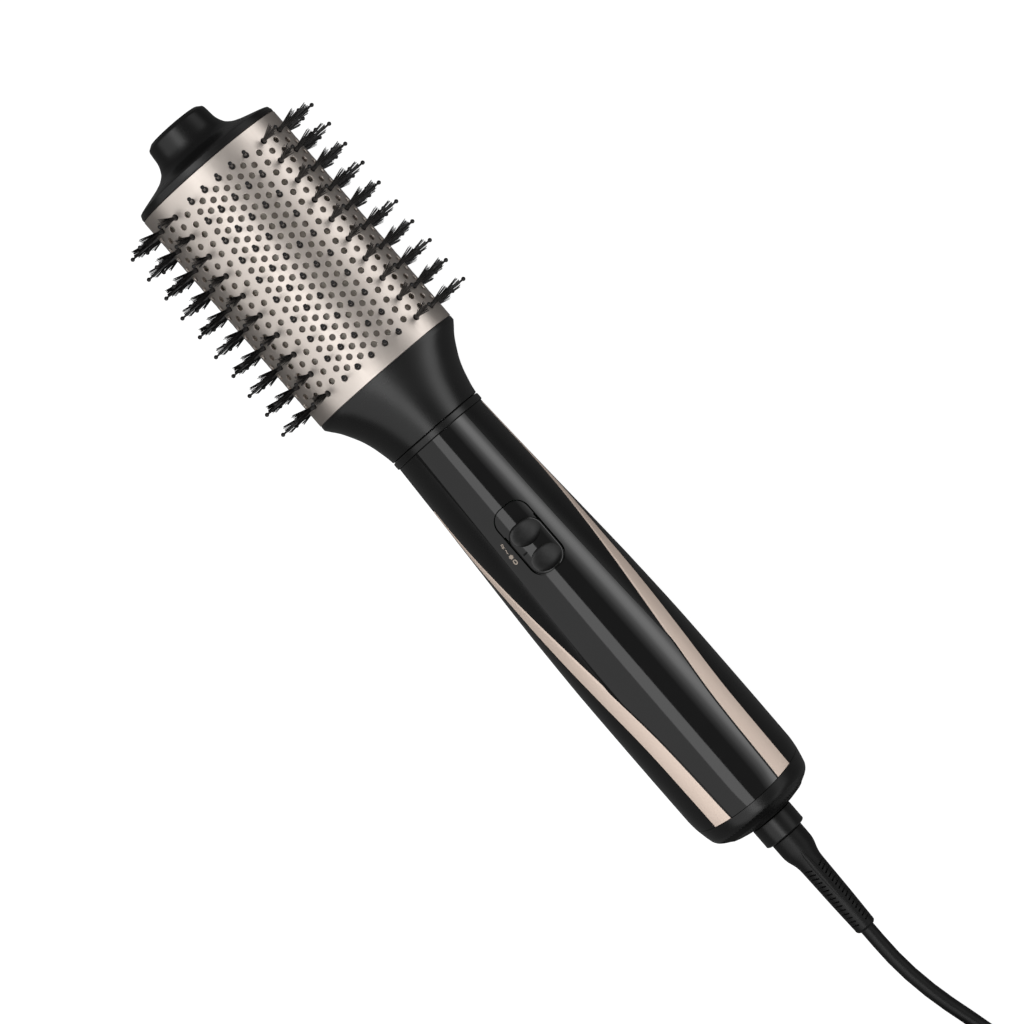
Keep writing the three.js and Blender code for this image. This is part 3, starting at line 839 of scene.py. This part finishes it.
def inlay(side):
    """A metal strip set in the shell; its inner edge is a narrow facet that catches more light."""
    def across(x):
        inner = angle_of(inlay_inner(x) + INLAY_GAP, x)
        outer = angle_of(inlay_outer(x) - INLAY_GAP, x)
        width = outer - inner
        facet = min(0.9 / half_width(x), width * 0.3)
        edge = min(0.15 / half_width(x), width * 0.1)
        half = [
            (inner, 0.34), (inner + edge * 0.5, 0.24), (inner + facet, 0.0),
            *[(inner + facet + (width - facet - edge) * t, 0.0) for t in spread(0.1, 0.9, 5)],
            (outer - edge, 0.0), (outer, 0.12),
        ]
        return [(a * side, inset) for a, inset in half]

    name = "left" if side > 0 else "right"
    strip = lay(f"inlay_{name}_metal", handle_rows(INLAY_START[name] + 0.5), across)
    modify(strip, "SOLIDIFY", thickness=0.7, offset=-1)
    clean(strip, 0.002)
    return settle(strip, "brush", "rose_gold_inlay", f"inlay_{name}", smooth=14)


CAP_SIDES = 152
CAP_START, DOME_START = 341.3, 345.2


def end_cap():
    """A domed cap with a wavy front edge; every other point of its grille is pressed in."""
    dome = law([
        (CAP_START, 24.5), (DOME_START, 23.55), (346.4, 22.9), (347.3, 22.2), (348.3, 21),
        (349.2, 19.5), (350, 18),
        (350.7, 17), (351.2, 15.3), (351.7, 13.2), (352.1, 11.4), (352.4, 9.6),
    ])
    places = [CAP_START, 341.4, 342.4, 343.6, 344.6, 345.4, 346.2, 346.9]
    grille = [
        347.4, 348, 348.55, 349.05, 349.5, 349.9, 350.3, 350.65, 350.95, 351.2, 351.45, 351.65, 351.82,
        351.98,
    ]
    share = depth_share(345)
    edge_round = 0.12
    places += [*grille, 352.1, 352.25, 352.4]
    sizes = [
        *[(x, dome(x) - (edge_round if x == CAP_START else 0)) for x in places],
        (352.4, 6.2), (350.2, 6.2), (349.8, 12.4), (347.6, 18.2), (344.5, 21.9), (CAP_START, 23.2),
    ]
    cap = loft("end_cap_moulded", [(x, r, r * share) for x, r in sizes], sides=CAP_SIDES, ends="pipe")
    rings = {round(x, 2): number for number, x in enumerate(grille)}
    for vertex in cap.data.vertices:
        place = vertex.co
        angle = math.atan2(place.y, place.z / share)
        radius = math.hypot(place.y, place.z / share)
        column = round((angle + math.pi) * CAP_SIDES / (2 * math.pi))
        ring = rings.get(round(place.x, 2))
        vertex.select = ring is not None and radius > 10 and (ring + column) % 2 == 0
        if place.x < DOME_START:
            start = rear_seam(angle) + 0.02
            place.x = start + (place.x - CAP_START) * (DOME_START - start) / (DOME_START - CAP_START)
            if radius > 23.3:
                inset = edge_round if place.x < start + 0.02 else 0
                scale = (half_width(place.x) - inset) / radius
                place.y, place.z = place.y * scale, place.z * scale
    cap.data.update()
    pressed = [(vertex, vertex.normal.copy()) for vertex in cap.data.vertices if vertex.select]
    for vertex, out in pressed:
        vertex.co -= out * 0.5
    return settle(cap, "brush", "black_satin_abs", "end_cap", smooth=24)


def collar():
    piece = loft("cord_collar", [
        (352.7, 8.8), (352.8, 9.0), (353, 9.08), (360.8, 9.08), (361, 9.02), (361.42, 8.5), (361.5, 8.3),
        (361.5, 7.4), (360.9, 7.2), (360.9, 5.3), (352.7, 5.3),
    ], sides=96, ends="pipe")
    return settle(piece, "brush", "black_satin_abs", "collar")


NOTCHES = 15
NOTCH_START, NOTCH_STEP = 377.6, 1.96
NOTCH_HALF, NOTCH_LEAN = 0.33, math.radians(26)
SPINE_START, SPINE_END = 369, 396.5


def strain_relief():
    """The sleeve that leads the cord out: slanting notches down both sides, a soft spine on each face."""
    radius = law([
        (361.8, 7.08), (368, 7.03), (370, 6.75), (372, 6.12), (373.8, 5.55), (376, 5.2), (380, 5.08),
        (394, 4.8), (407.2, 4.38),
    ])
    sizes = [(361.8, 6.8), (361.9, 7), (362.1, 7.08), *[(x, radius(x)) for x in spread(362.6, 407, 44)]]
    sizes += [(407.6, 4.4), (408.2, 4.32), (408.7, 4.0), (409.1, 3.5)]
    relief = loft("strain_relief_moulded", sizes, sides=64)
    tools = []
    for i in range(NOTCHES):
        x = NOTCH_START + i * NOTCH_STEP
        for side in (1, -1):
            for height in (1.15, -5.15):
                tool = block("notch", (-NOTCH_HALF, -2.1, 0), (NOTCH_HALF, 2.1, 4))
                turn = Matrix.Rotation(side * NOTCH_LEAN, 4, "Z")
                at = Vector((x, side * 3.5, height))
                tools.append(moved(tool, Matrix.Translation(at) @ turn))
    cut_with(relief, join(*tools))
    bulge = law([(SPINE_START, 0.15), (372, 0.9), (378, 1.15), (388, 0.8), (SPINE_END, 0.12)])
    stations = [(x, bulge(x), bulge(x) * 0.55) for x in spread(SPINE_START, SPINE_END, 20)]
    spine = loft("spine", stations, sides=16)
    for vertex in spine.data.vertices:
        vertex.co.z += radius(vertex.co.x) - 0.12
    other = copied(spine, "spine_back")
    moved(other, Matrix.Rotation(math.pi, 4, "X"))
    join(relief, spine, other)
    return settle(relief, "swivel", "cord_pvc", "strain_relief", smooth=24)


# ---------------------------------------------------------------- switch
SWITCH_X = 214
THUMB_LIFT = 1.25
THUMB_POINTS = 128
SCOOPS = (208.1, 220.25)
SCOOP_HALF_LENGTH, SCOOP_HALF, SCOOP_DEPTH, SCOOP_RAISE = 4.85, 7.25, 2.1, 0.35


def thumb_height(y):
    """The thumb piece's top before it is dished: the panel's own curve, raised."""
    form = half_width(SWITCH_X)
    return form * depth_share(SWITCH_X) * math.sqrt(max(1 - (y / form) ** 2, 0)) + THUMB_LIFT


def scoop(x):
    """A dish for a fingertip, across the thumb piece."""
    deselect()
    bpy.ops.mesh.primitive_uv_sphere_add(segments=64, ring_count=32, radius=1)
    bowl = fresh("scoop")
    at = Matrix.Translation(Vector((x, 0, thumb_height(0) + SCOOP_RAISE)))
    return moved(bowl, at @ Matrix.Diagonal((SCOOP_HALF_LENGTH, SCOOP_HALF, SCOOP_DEPTH, 1)))


def in_scoop(place):
    """Whether a point lies on the surface of one of the two dishes."""
    wide = place.y / SCOOP_HALF
    deep = (place.z - thumb_height(0) - SCOOP_RAISE) / SCOOP_DEPTH
    return any(
        abs(Vector(((place.x - x) / SCOOP_HALF_LENGTH, wide, deep)).length - 1) < 0.02 for x in SCOOPS
    )


def thumb():
    """The thumb piece: rings from its flat underside up over its soft edge to the middle of its top."""
    rings = [(0.0, 0.7), (0.05, 0.42), (0.18, 0.18), (0.36, 0.05), *[(i, 0.0) for i in spread(0.5, 7.0, 34)]]
    underside = thumb_height(0) - 7.6

    def place(row, column):
        number = round(row * len(rings))
        inset, drop = rings[max(number - 1, 0)]
        outline = rounded_outline(
            THUMB["start"], THUMB["end"], THUMB["half"], THUMB["corner"], THUMB_POINTS, inset
        )
        x, y = outline[round(column * THUMB_POINTS) % THUMB_POINTS]
        return Vector((x, y, thumb_height(y) - drop if number else underside))

    piece = draped("switch_thumb_gloss", len(rings), THUMB_POINTS, place)
    clean(piece, 0.003)
    edit(piece)
    bpy.ops.mesh.fill_holes(sides=0)
    bpy.ops.mesh.normals_make_consistent(inside=False)
    leave()
    for x in SCOOPS:
        cut_with(piece, scoop(x))
    clean(piece, 0.003)
    pointer = block("pointer", (213.85, -6.2, 22.3), (214.55, -4.2, thumb_height(-4.9) + 0.12))
    join(piece, pointer)
    for polygon in piece.data.polygons:
        polygon.material_index = 1 if in_scoop(polygon.center) else 0
    return settle(piece, "switch_slider", "black_gloss_panel", "switch_thumb", smooth=20)


def shutter():
    """The plate that slides with the thumb piece and closes the slot, with a fine gap round it."""
    def across(x):
        half = angle_of(8.9, x)
        return [(a, SHUTTER_DEPTH) for a in spread(-half, half, 24)]

    plate = lay("switch_shutter_gloss", spread(190.5, 234.6, 24), across)
    modify(plate, "SOLIDIFY", thickness=0.8, offset=-1)
    shape = rounded_outline(SLOT["start"] + 0.4, 234.4, SLOT["half"] - 0.4, SLOT["corner"] - 0.4)
    cut_with(plate, upright("shutter_outline", shape, 12, 30), "INTERSECT")
    for side in (1, -1):
        low, high = sorted((side * 6.85, side * 9))
        cut_with(plate, block("relief_cut", (204.5, low, 12), (240, high, 30)))
    clean(plate)
    settle(plate, "switch_slider", "black_gloss_panel", "switch_shutter")
    return true_round(plate, handle_outward, 0.97)


# Marks beside the slot: strong air, gentle air, cool, and off.
MARK_ASIDE = 10.15
MARK_PLACES = (206.5, 209.1, 211.65, 214.1)
MARK_THICKNESS = 0.05


def ribbon(name, length, height, width):
    """A short wavy stroke."""
    def place(row, column):
        x = (row - 0.5) * length
        return Vector((x, height * math.sin(row * 2 * math.pi) + (column - 0.5) * width, 0))

    return draped(name, 16, 1, place)


def switch_marks():
    marks = [ribbon("mark_strong", 1.9, 0.22, 0.34), ribbon("mark_gentle", 1.9, 0.2, 0.34)]
    second = ribbon("mark_second", 1.9, 0.22, 0.34)
    moved(second, Matrix.Translation(Vector((0, 0.5, 0))))
    moved(marks[0], Matrix.Translation(Vector((0, -0.1, 0))))
    marks[0] = join(marks[0], second)
    deselect()
    bpy.ops.mesh.primitive_circle_add(vertices=24, radius=0.95, fill_type="NGON")
    cool = fresh("mark_cool")
    for number, vertex in enumerate(cool.data.vertices):
        if number % 4 == 2:
            vertex.co *= 0.78
    marks.append(cool)
    deselect()
    bpy.ops.mesh.primitive_circle_add(vertices=40, radius=1)
    off = fresh("mark_off")
    for vertex in off.data.vertices:
        vertex.co.x = vertex.co.x * 0.8 + math.copysign(0.28, vertex.co.x)
        vertex.co.y *= 0.84
    edit(off)
    bpy.ops.mesh.extrude_region_move()
    bpy.ops.transform.resize(value=(0.6, 0.45, 1), center_override=(0, 0, 0))
    leave()
    marks.append(off)
    made = []
    for mark, x in zip(marks, MARK_PLACES):
        place = on_handle(x, -angle_of(MARK_ASIDE, x), -0.02)
        out = handle_outward(place)
        tilt = Matrix.Rotation(-math.atan2(out.y, out.z), 4, "X")
        moved(mark, Matrix.Translation(place) @ tilt)
        made.append(face_up(mark, (x, 0, 0)))
    marks = join(*made)
    marks.name = marks.data.name = "switch_marks"
    modify(marks, "SOLIDIFY", thickness=MARK_THICKNESS, offset=1)
    clean(marks, 0.001)
    return settle(marks, "brush", "rose_gold_inlay")


sleeve = true_round(barrel_sleeve(), oval_outward)
lining = mica_lining()
cap = tip_cap()
bristles = strips()
cone = neck_cone()
ring = neck_ring()
panel = front_panel()
shell = handle_shell()
inlays = [inlay(1), inlay(-1)]
rear_cap = end_cap()
cord_collar = collar()
relief = strain_relief()
thumb_piece = thumb()
shutter_plate = shutter()
marks = switch_marks()


# ---------------------------------------------------------------- materials
ABS_IOR, NYLON_IOR, PVC_IOR = 1.53, 1.53, 1.52
# The two colours of a colour mix are its inputs 6 and 7, and its colour comes out of output 2.
LOW, HIGH, MIXED = 6, 7, 2


def colour(hex_code):
    """An sRGB hex colour as the linear one the shaders take."""
    parts = [int(hex_code[i:i + 2], 16) / 255 for i in (1, 3, 5)]
    return (*[c / 12.92 if c <= 0.04045 else ((c + 0.055) / 1.055) ** 2.4 for c in parts], 1)


def node(tree, kind, inputs=None, **settings):
    """Adds a node with its settings, and sets or links its inputs, which are named or numbered."""
    made = tree.nodes.new(kind)
    for name, value in settings.items():
        setattr(made, name, value)
    for name, value in (inputs or {}).items():
        if isinstance(value, bpy.types.NodeSocket):
            tree.links.new(value, made.inputs[name])
        else:
            made.inputs[name].default_value = value
    return made


def per_mm(size):
    """The scale that gives a pattern features of about that size in mm."""
    return 1 / (size * MM)


def material(name):
    """An empty material: itself, its tree, and the Object coordinates that place its patterns."""
    made = bpy.data.materials.new(name)
    made.use_nodes = True
    made.node_tree.nodes.clear()
    return made, made.node_tree, node(made.node_tree, "ShaderNodeTexCoord").outputs["Object"]


def surface(made, tint, sheen, relief=None, more=None, span=(0, 1)):
    """Ends a material. The tint is (pattern, low, high), and so is the sheen unless it is one roughness;
    the relief is (pattern, mm, strength). more holds the shader's other inputs, and span the part of
    the pattern's range that the sheen follows."""
    tree = made.node_tree
    pattern, low, high = tint
    mix = node(tree, "ShaderNodeMix", {
        "Factor": pattern, LOW: colour(low), HIGH: colour(high),
    }, data_type="RGBA")
    inputs = {"Base Color": mix.outputs[MIXED], "Roughness": sheen, **(more or {})}
    if isinstance(sheen, tuple):
        pattern, low, high = sheen
        inputs["Roughness"] = node(tree, "ShaderNodeMapRange", {
            "Value": pattern, "From Min": span[0], "From Max": span[1], "To Min": low, "To Max": high,
        }).outputs["Result"]
    if relief:
        pattern, depth, strength = relief
        inputs["Normal"] = node(tree, "ShaderNodeBump", {
            "Height": pattern, "Distance": depth * MM, "Strength": strength,
        }).outputs["Normal"]
    shader = node(tree, "ShaderNodeBsdfPrincipled", inputs)
    node(tree, "ShaderNodeOutputMaterial", {"Surface": shader.outputs["BSDF"]})
    return made


def satin_abs():
    """Moulded ABS from a spark-eroded tool: a fine grain that spreads the highlights."""
    made, tree, where = material("moulded_satin_abs")
    wide = node(tree, "ShaderNodeTexNoise", {"Vector": where, "Scale": per_mm(18)}).outputs["Fac"]
    fine = node(tree, "ShaderNodeTexNoise", {"Vector": where, "Scale": per_mm(0.22), "Detail": 3})
    return surface(
        made, (wide, "#121212", "#171717"), (wide, 0.22, 0.34), (fine.outputs["Fac"], 0.012, 0.5),
        {"IOR": ABS_IOR},
    )


def textured_abs():
    """Black ABS with a coarser etched grain, for grip: it hardly shines."""
    made, tree, where = material("textured_black_abs")
    etch = node(tree, "ShaderNodeTexVoronoi", {"Vector": where, "Scale": per_mm(0.3)}).outputs["Distance"]
    wide = node(tree, "ShaderNodeTexNoise", {"Vector": where, "Scale": per_mm(4)}).outputs["Fac"]
    return surface(
        made, (wide, "#0a0a0a", "#0f0f0f"), (wide, 0.3, 0.46), (etch, 0.015, 0.4),
        {"IOR": ABS_IOR, "Specular IOR Level": 0.4},
    )


def gloss_abs():
    """Polished black ABS: mirror clear, with the faint waviness of a moulded skin."""
    made, tree, where = material("polished_black_abs")
    wave = node(tree, "ShaderNodeTexNoise", {
        "Vector": where, "Scale": per_mm(9), "Detail": 1,
    }).outputs["Fac"]
    haze = node(tree, "ShaderNodeTexNoise", {"Vector": where, "Scale": per_mm(1.3), "Detail": 3})
    return surface(
        made, (wave, "#0f0f0f", "#131313"), (haze.outputs["Fac"], 0.02, 0.11), (wave, 0.006, 0.25),
        {"IOR": ABS_IOR},
    )


def champagne():
    """Anodised aluminium sleeve, brushed along its length before it was dyed: a soft satin metal."""
    made, tree, where = material("anodised_champagne_aluminium")
    along = node(tree, "ShaderNodeMapping", {
        "Vector": where, "Rotation": (0, -TILT, 0), "Scale": (0.06, 1, 1),
    }).outputs["Vector"]
    drawn = node(tree, "ShaderNodeTexNoise", {
        "Vector": along, "Scale": per_mm(0.5), "Detail": 3,
    }).outputs["Fac"]
    wide = node(tree, "ShaderNodeTexNoise", {"Vector": where, "Scale": per_mm(14)}).outputs["Fac"]
    return surface(
        made, (wide, "#d2c8c0", "#dad1c9"), (drawn, 0.3, 0.44), (drawn, 0.01, 0.35), {"Metallic": 1},
    )


def rose_gold():
    """Vacuum-plated strip under a satin lacquer: more an even warm beige than a mirror."""
    made, tree, where = material("plated_rose_gold")
    along = node(tree, "ShaderNodeMapping", {
        "Vector": where, "Rotation": (0, -TILT, 0), "Scale": (0.05, 1, 1),
    }).outputs["Vector"]
    drawn = node(tree, "ShaderNodeTexNoise", {
        "Vector": along, "Scale": per_mm(0.35),
    }).outputs["Fac"]
    return surface(
        made, (drawn, "#d6c2b4", "#dccabd"), (drawn, 0.38, 0.54), (drawn, 0.006, 0.3), {"Metallic": 0.25},
    )


def nylon():
    """Extruded and moulded nylon: black, a little waxy."""
    made, tree, where = material("black_nylon")
    mottle = node(tree, "ShaderNodeTexNoise", {"Vector": where, "Scale": per_mm(1.1)}).outputs["Fac"]
    return surface(
        made, (mottle, "#0a0909", "#141313"), (mottle, 0.24, 0.5), (mottle, 0.02, 0.3),
        {"IOR": NYLON_IOR, "Specular IOR Level": 0.45},
    )


def pvc():
    """Soft PVC jacket: darker than the handle, with a slightly dragged skin."""
    made, tree, where = material("soft_black_pvc")
    drag = node(tree, "ShaderNodeTexNoise", {
        "Vector": where, "Scale": per_mm(0.35), "Detail": 3,
    }).outputs["Fac"]
    wide = node(tree, "ShaderNodeTexNoise", {"Vector": where, "Scale": per_mm(7)}).outputs["Fac"]
    return surface(
        made, (wide, "#0d0d0d", "#141414"), (drag, 0.34, 0.54), (drag, 0.02, 0.5),
        {"IOR": PVC_IOR, "Specular IOR Level": 0.4},
    )


def webbing():
    """Woven hook-and-loop strap: fine threads across it."""
    made, tree, where = material("woven_strap")
    threads = node(tree, "ShaderNodeTexWave", {
        "Vector": where, "Scale": per_mm(0.6) / math.pi, "Distortion": 0.6,
    }, bands_direction="X").outputs["Fac"]
    return surface(made, (threads, "#0c0c0c", "#222223"), 0.85, (threads, 0.15, 0.7))


def metal(name, low, high, rough, size, squeeze=1.0):
    """A machined or plated metal: its tool marks show as a change of sheen and a fine relief."""
    made, tree, where = material(name)
    along = node(tree, "ShaderNodeMapping", {
        "Vector": where, "Rotation": (0, -TILT, 0), "Scale": (squeeze, 1, 1),
    }).outputs["Vector"]
    tooling = node(tree, "ShaderNodeTexNoise", {
        "Vector": along, "Scale": per_mm(size), "Detail": 3,
    }).outputs["Fac"]
    return surface(
        made, (tooling, low, high), (tooling, rough, rough + 0.15), (tooling, 0.01, 0.4),
        {"Metallic": 1}, span=(0.3, 0.7),
    )


def mica():
    """Pressed mica sheet: pale pearly flakes in a thin binder."""
    made, tree, where = material("mica_sheet")
    flakes = node(tree, "ShaderNodeTexVoronoi", {"Vector": where, "Scale": per_mm(1.6)}).outputs["Distance"]
    return surface(made, (flakes, "#e9e2d8", "#c9bfb0"), 0.45, (flakes, 0.05, 0.4))


def pale_plastic(name, low, high):
    """PBT, as used beside heat: undyed it is off-white, and it is always slightly cloudy."""
    made, tree, where = material(name)
    cloud = node(tree, "ShaderNodeTexNoise", {"Vector": where, "Scale": per_mm(5), "Detail": 3})
    fine = node(tree, "ShaderNodeTexNoise", {"Vector": where, "Scale": per_mm(0.3)})
    return surface(made, (cloud.outputs["Fac"], low, high), 0.48, (fine.outputs["Fac"], 0.01, 0.4))


def board():
    """Glass-epoxy board: a woven base under green lacquer."""
    made, tree, where = material("glass_epoxy_board")
    weave = node(tree, "ShaderNodeTexChecker", {
        "Vector": where, "Scale": per_mm(1.2),
    }).outputs["Fac"]
    return surface(made, (weave, "#2b5738", "#21452c"), 0.4, (weave, 0.02, 0.3))


def ink():
    """Pad-printed marks: a thin matt ink, a little uneven."""
    made, tree, where = material("pad_printed_ink")
    uneven = node(tree, "ShaderNodeTexNoise", {"Vector": where, "Scale": per_mm(0.4)}).outputs["Fac"]
    return surface(made, (uneven, "#bfb0a0", "#d3c6b8"), 0.5)


SATIN, GLOSS, SCOOP = satin_abs(), gloss_abs(), textured_abs()
CHAMPAGNE, ROSE, INK = champagne(), rose_gold(), ink()
NYLON, PVC, WEBBING, MICA, BOARD = nylon(), pvc(), webbing(), mica(), board()
STEEL = metal("drawn_steel", "#8f9194", "#b3b5b8", 0.3, 0.6, squeeze=0.1)
WIRE = metal("resistance_wire", "#8a8178", "#a89d92", 0.35, 0.8)
NICKEL = metal("nickel_plate", "#b3aea4", "#c9c5bb", 0.2, 0.9, squeeze=0.1)
PALE = pale_plastic("natural_pbt", "#8d8a82", "#a9a69d")
FOOT = pale_plastic("grey_pbt", "#6b635b", "#7b736a")


def dress(made, *pieces):
    """Gives the pieces one material, in every slot they have."""
    for piece in pieces:
        if not piece.data.materials:
            piece.data.materials.append(made)
        for slot in range(len(piece.data.materials)):
            piece.data.materials[slot] = made


nodes = frame["nodes"]
dress(CHAMPAGNE, sleeve)
dress(MICA, lining)
dress(SATIN, cap, cone, ring, shell, rear_cap, cord_collar)
dress(GLOSS, panel, thumb_piece, shutter_plate)
thumb_piece.data.materials.append(SCOOP)
dress(ROSE, *inlays)
dress(INK, marks)
for strip in bristles:
    dress(NYLON, strip)
    strip.data.materials.append(FOOT)
dress(PVC, relief, mains_cord, *plug_pieces[:2])
dress(NICKEL, *plug_pieces[2:])
dress(WEBBING, strap)
for made_of, names in (
    (STEEL, ("tie_rod", "thermostat", "thermal_fuse", "motor", "motor_shaft", "intake_filter")),
    (WIRE, ("heater_coil",)),
    (MICA, ("heater_frame", "heat_shield")),
    (PALE, ("strip_retainer_tip", "strip_retainer_neck", "slide_switch", "fan_impeller")),
    (SATIN, ("motor_mount", "fan_shroud", "swivel_spindle", "cord_clamp")),
    (PVC, ("inner_lead",)),
    (BOARD, ("circuit_board",)),
):
    dress(made_of, *[nodes[name] for name in names])


# ---------------------------------------------------------------- table and light
FLOOR_SIZE, FLOOR_GLOW = 12, 0.985
WORLD_LIGHT, WORLD_SEEN = 0.125, 1.0
WHITE = (1, 1, 1, 1)
SOFTBOX_DISTANCE, SOFTBOX_FRONT, SOFTBOX_REAR = 2.4, -1.6, 6.0


def floor():
    """A pale table. It looks white, and reflects less than it shows, as a lit sweep of paper does."""
    deselect()
    bpy.ops.mesh.primitive_plane_add(size=FLOOR_SIZE)
    piece = fresh("table")
    made, tree, where = material("pale_table")
    mottle = node(tree, "ShaderNodeTexNoise", {"Vector": where, "Scale": per_mm(30)}).outputs["Fac"]
    seen = node(tree, "ShaderNodeLightPath").outputs["Is Camera Ray"]
    glow = node(tree, "ShaderNodeMapRange", {"Value": seen, "To Max": FLOOR_GLOW}).outputs["Result"]
    surface(made, (mottle, "#8a8a8a", "#8d8d8d"), 0.9, more={
        "Specular IOR Level": 0.1, "Emission Color": WHITE, "Emission Strength": glow,
    })
    dress(made, piece)


def sky():
    """Even dim light from all round; the camera sees it as white."""
    world = bpy.data.worlds.new("studio")
    bpy.context.scene.world = world
    world.use_nodes = True
    tree = world.node_tree
    tree.nodes.clear()
    seen = node(tree, "ShaderNodeLightPath").outputs["Is Camera Ray"]
    strength = node(tree, "ShaderNodeMapRange", {
        "Value": seen, "To Min": WORLD_LIGHT, "To Max": WORLD_SEEN,
    })
    back = node(tree, "ShaderNodeBackground", {
        "Color": WHITE, "Strength": strength.outputs["Result"],
    })
    node(tree, "ShaderNodeOutputWorld", {"Surface": back.outputs["Background"]})


def softbox(name, low, high, radiance, fade=(), on=()):
    """A long light that fills the angles from low to high round the brush, 0 being overhead.
    fade gives (angle, brightness) stops, its two ends first; on holds the only pieces it lights."""
    middle, half = (low + high) / 2, math.radians(high - low) / 2
    width = 2 * SOFTBOX_DISTANCE * math.tan(half)
    data = bpy.data.lights.new(name, "AREA")
    length = SOFTBOX_REAR - SOFTBOX_FRONT
    data.shape, data.size, data.size_y = "RECTANGLE", length, width
    data.energy = 4 * radiance * width * length
    lamp = bpy.data.objects.new(name, data)
    bpy.context.scene.collection.objects.link(lamp)
    turn = math.radians(middle)
    lamp.location = Vector((0, math.sin(turn), math.cos(turn))) * SOFTBOX_DISTANCE
    lamp.location.x = (SOFTBOX_FRONT + SOFTBOX_REAR) / 2
    lamp.rotation_euler = (-turn, 0, 0)
    lamp.visible_camera = False
    if on:
        lit = bpy.data.collections.new(f"{name}_lit")
        for piece in on:
            lit.objects.link(piece)
        lamp.light_linking.receiver_collection = lit
    if not fade:
        return
    data.use_nodes = True
    tree = data.node_tree
    place = node(tree, "ShaderNodeNewGeometry").outputs["Parametric"]
    across = node(tree, "ShaderNodeSeparateXYZ", {"Vector": place}).outputs["Y"]
    ramp = node(tree, "ShaderNodeValToRGB", {"Fac": across})
    stops = ramp.color_ramp.elements
    for number, (angle, bright) in enumerate(fade):
        share = 0.5 + 0.5 * math.tan(math.radians(angle - middle)) / math.tan(half)
        stop = stops[number] if number < 2 else stops.new(share)
        stop.position, stop.color = share, (bright, bright, bright, 1)
    tree.links.new(ramp.outputs["Color"], tree.nodes["Emission"].inputs["Color"])


KEY_FADE = ((24, 0.0), (72, 0.45), (32, 0.12), (40, 0.36), (47, 0.82), (53, 1.0), (60, 0.9), (66, 0.66))
PANEL_FADE = ((24, 0.0), (72, 0.2), (32, 0.15), (40, 0.42), (47, 0.88), (53, 1.0), (58, 0.9), (64, 0.5))

floor()
sky()
satins = (cap, shell, rear_cap, cord_collar, relief, mains_cord, *plug_pieces, strap)
metals = (sleeve, lining, *bristles)
# The bright metal, the glossy panel and the matt plastic each take their own share of the light.
softbox("over_strip", -20.5, -2.5, 1.55)
softbox("over_strip_metal", -20.5, -2.5, 0.48, on=metals)
softbox("over_wrap_metal", -50, 50, 0.07, on=metals)
softbox("right_fill", -66, -20.5, 0.52)
softbox("right_fill_metal", -80, -20.5, 0.12, on=metals)
softbox("right_fill_inlay", -84, -20.5, 0.7, on=inlays)
softbox("left_key_metal", 24, 72, 1.4, fade=KEY_FADE, on=(*metals, cone, ring))
softbox("left_key_inlay", 30, 84, 0.78, on=inlays)
softbox("left_key_panel", 24, 72, 2.45, fade=PANEL_FADE, on=(panel, thumb_piece, shutter_plate))
softbox("left_key_satin", 24, 72, 0.45, fade=KEY_FADE, on=satins)
bpy.context.scene.view_settings.view_transform = "Standard"
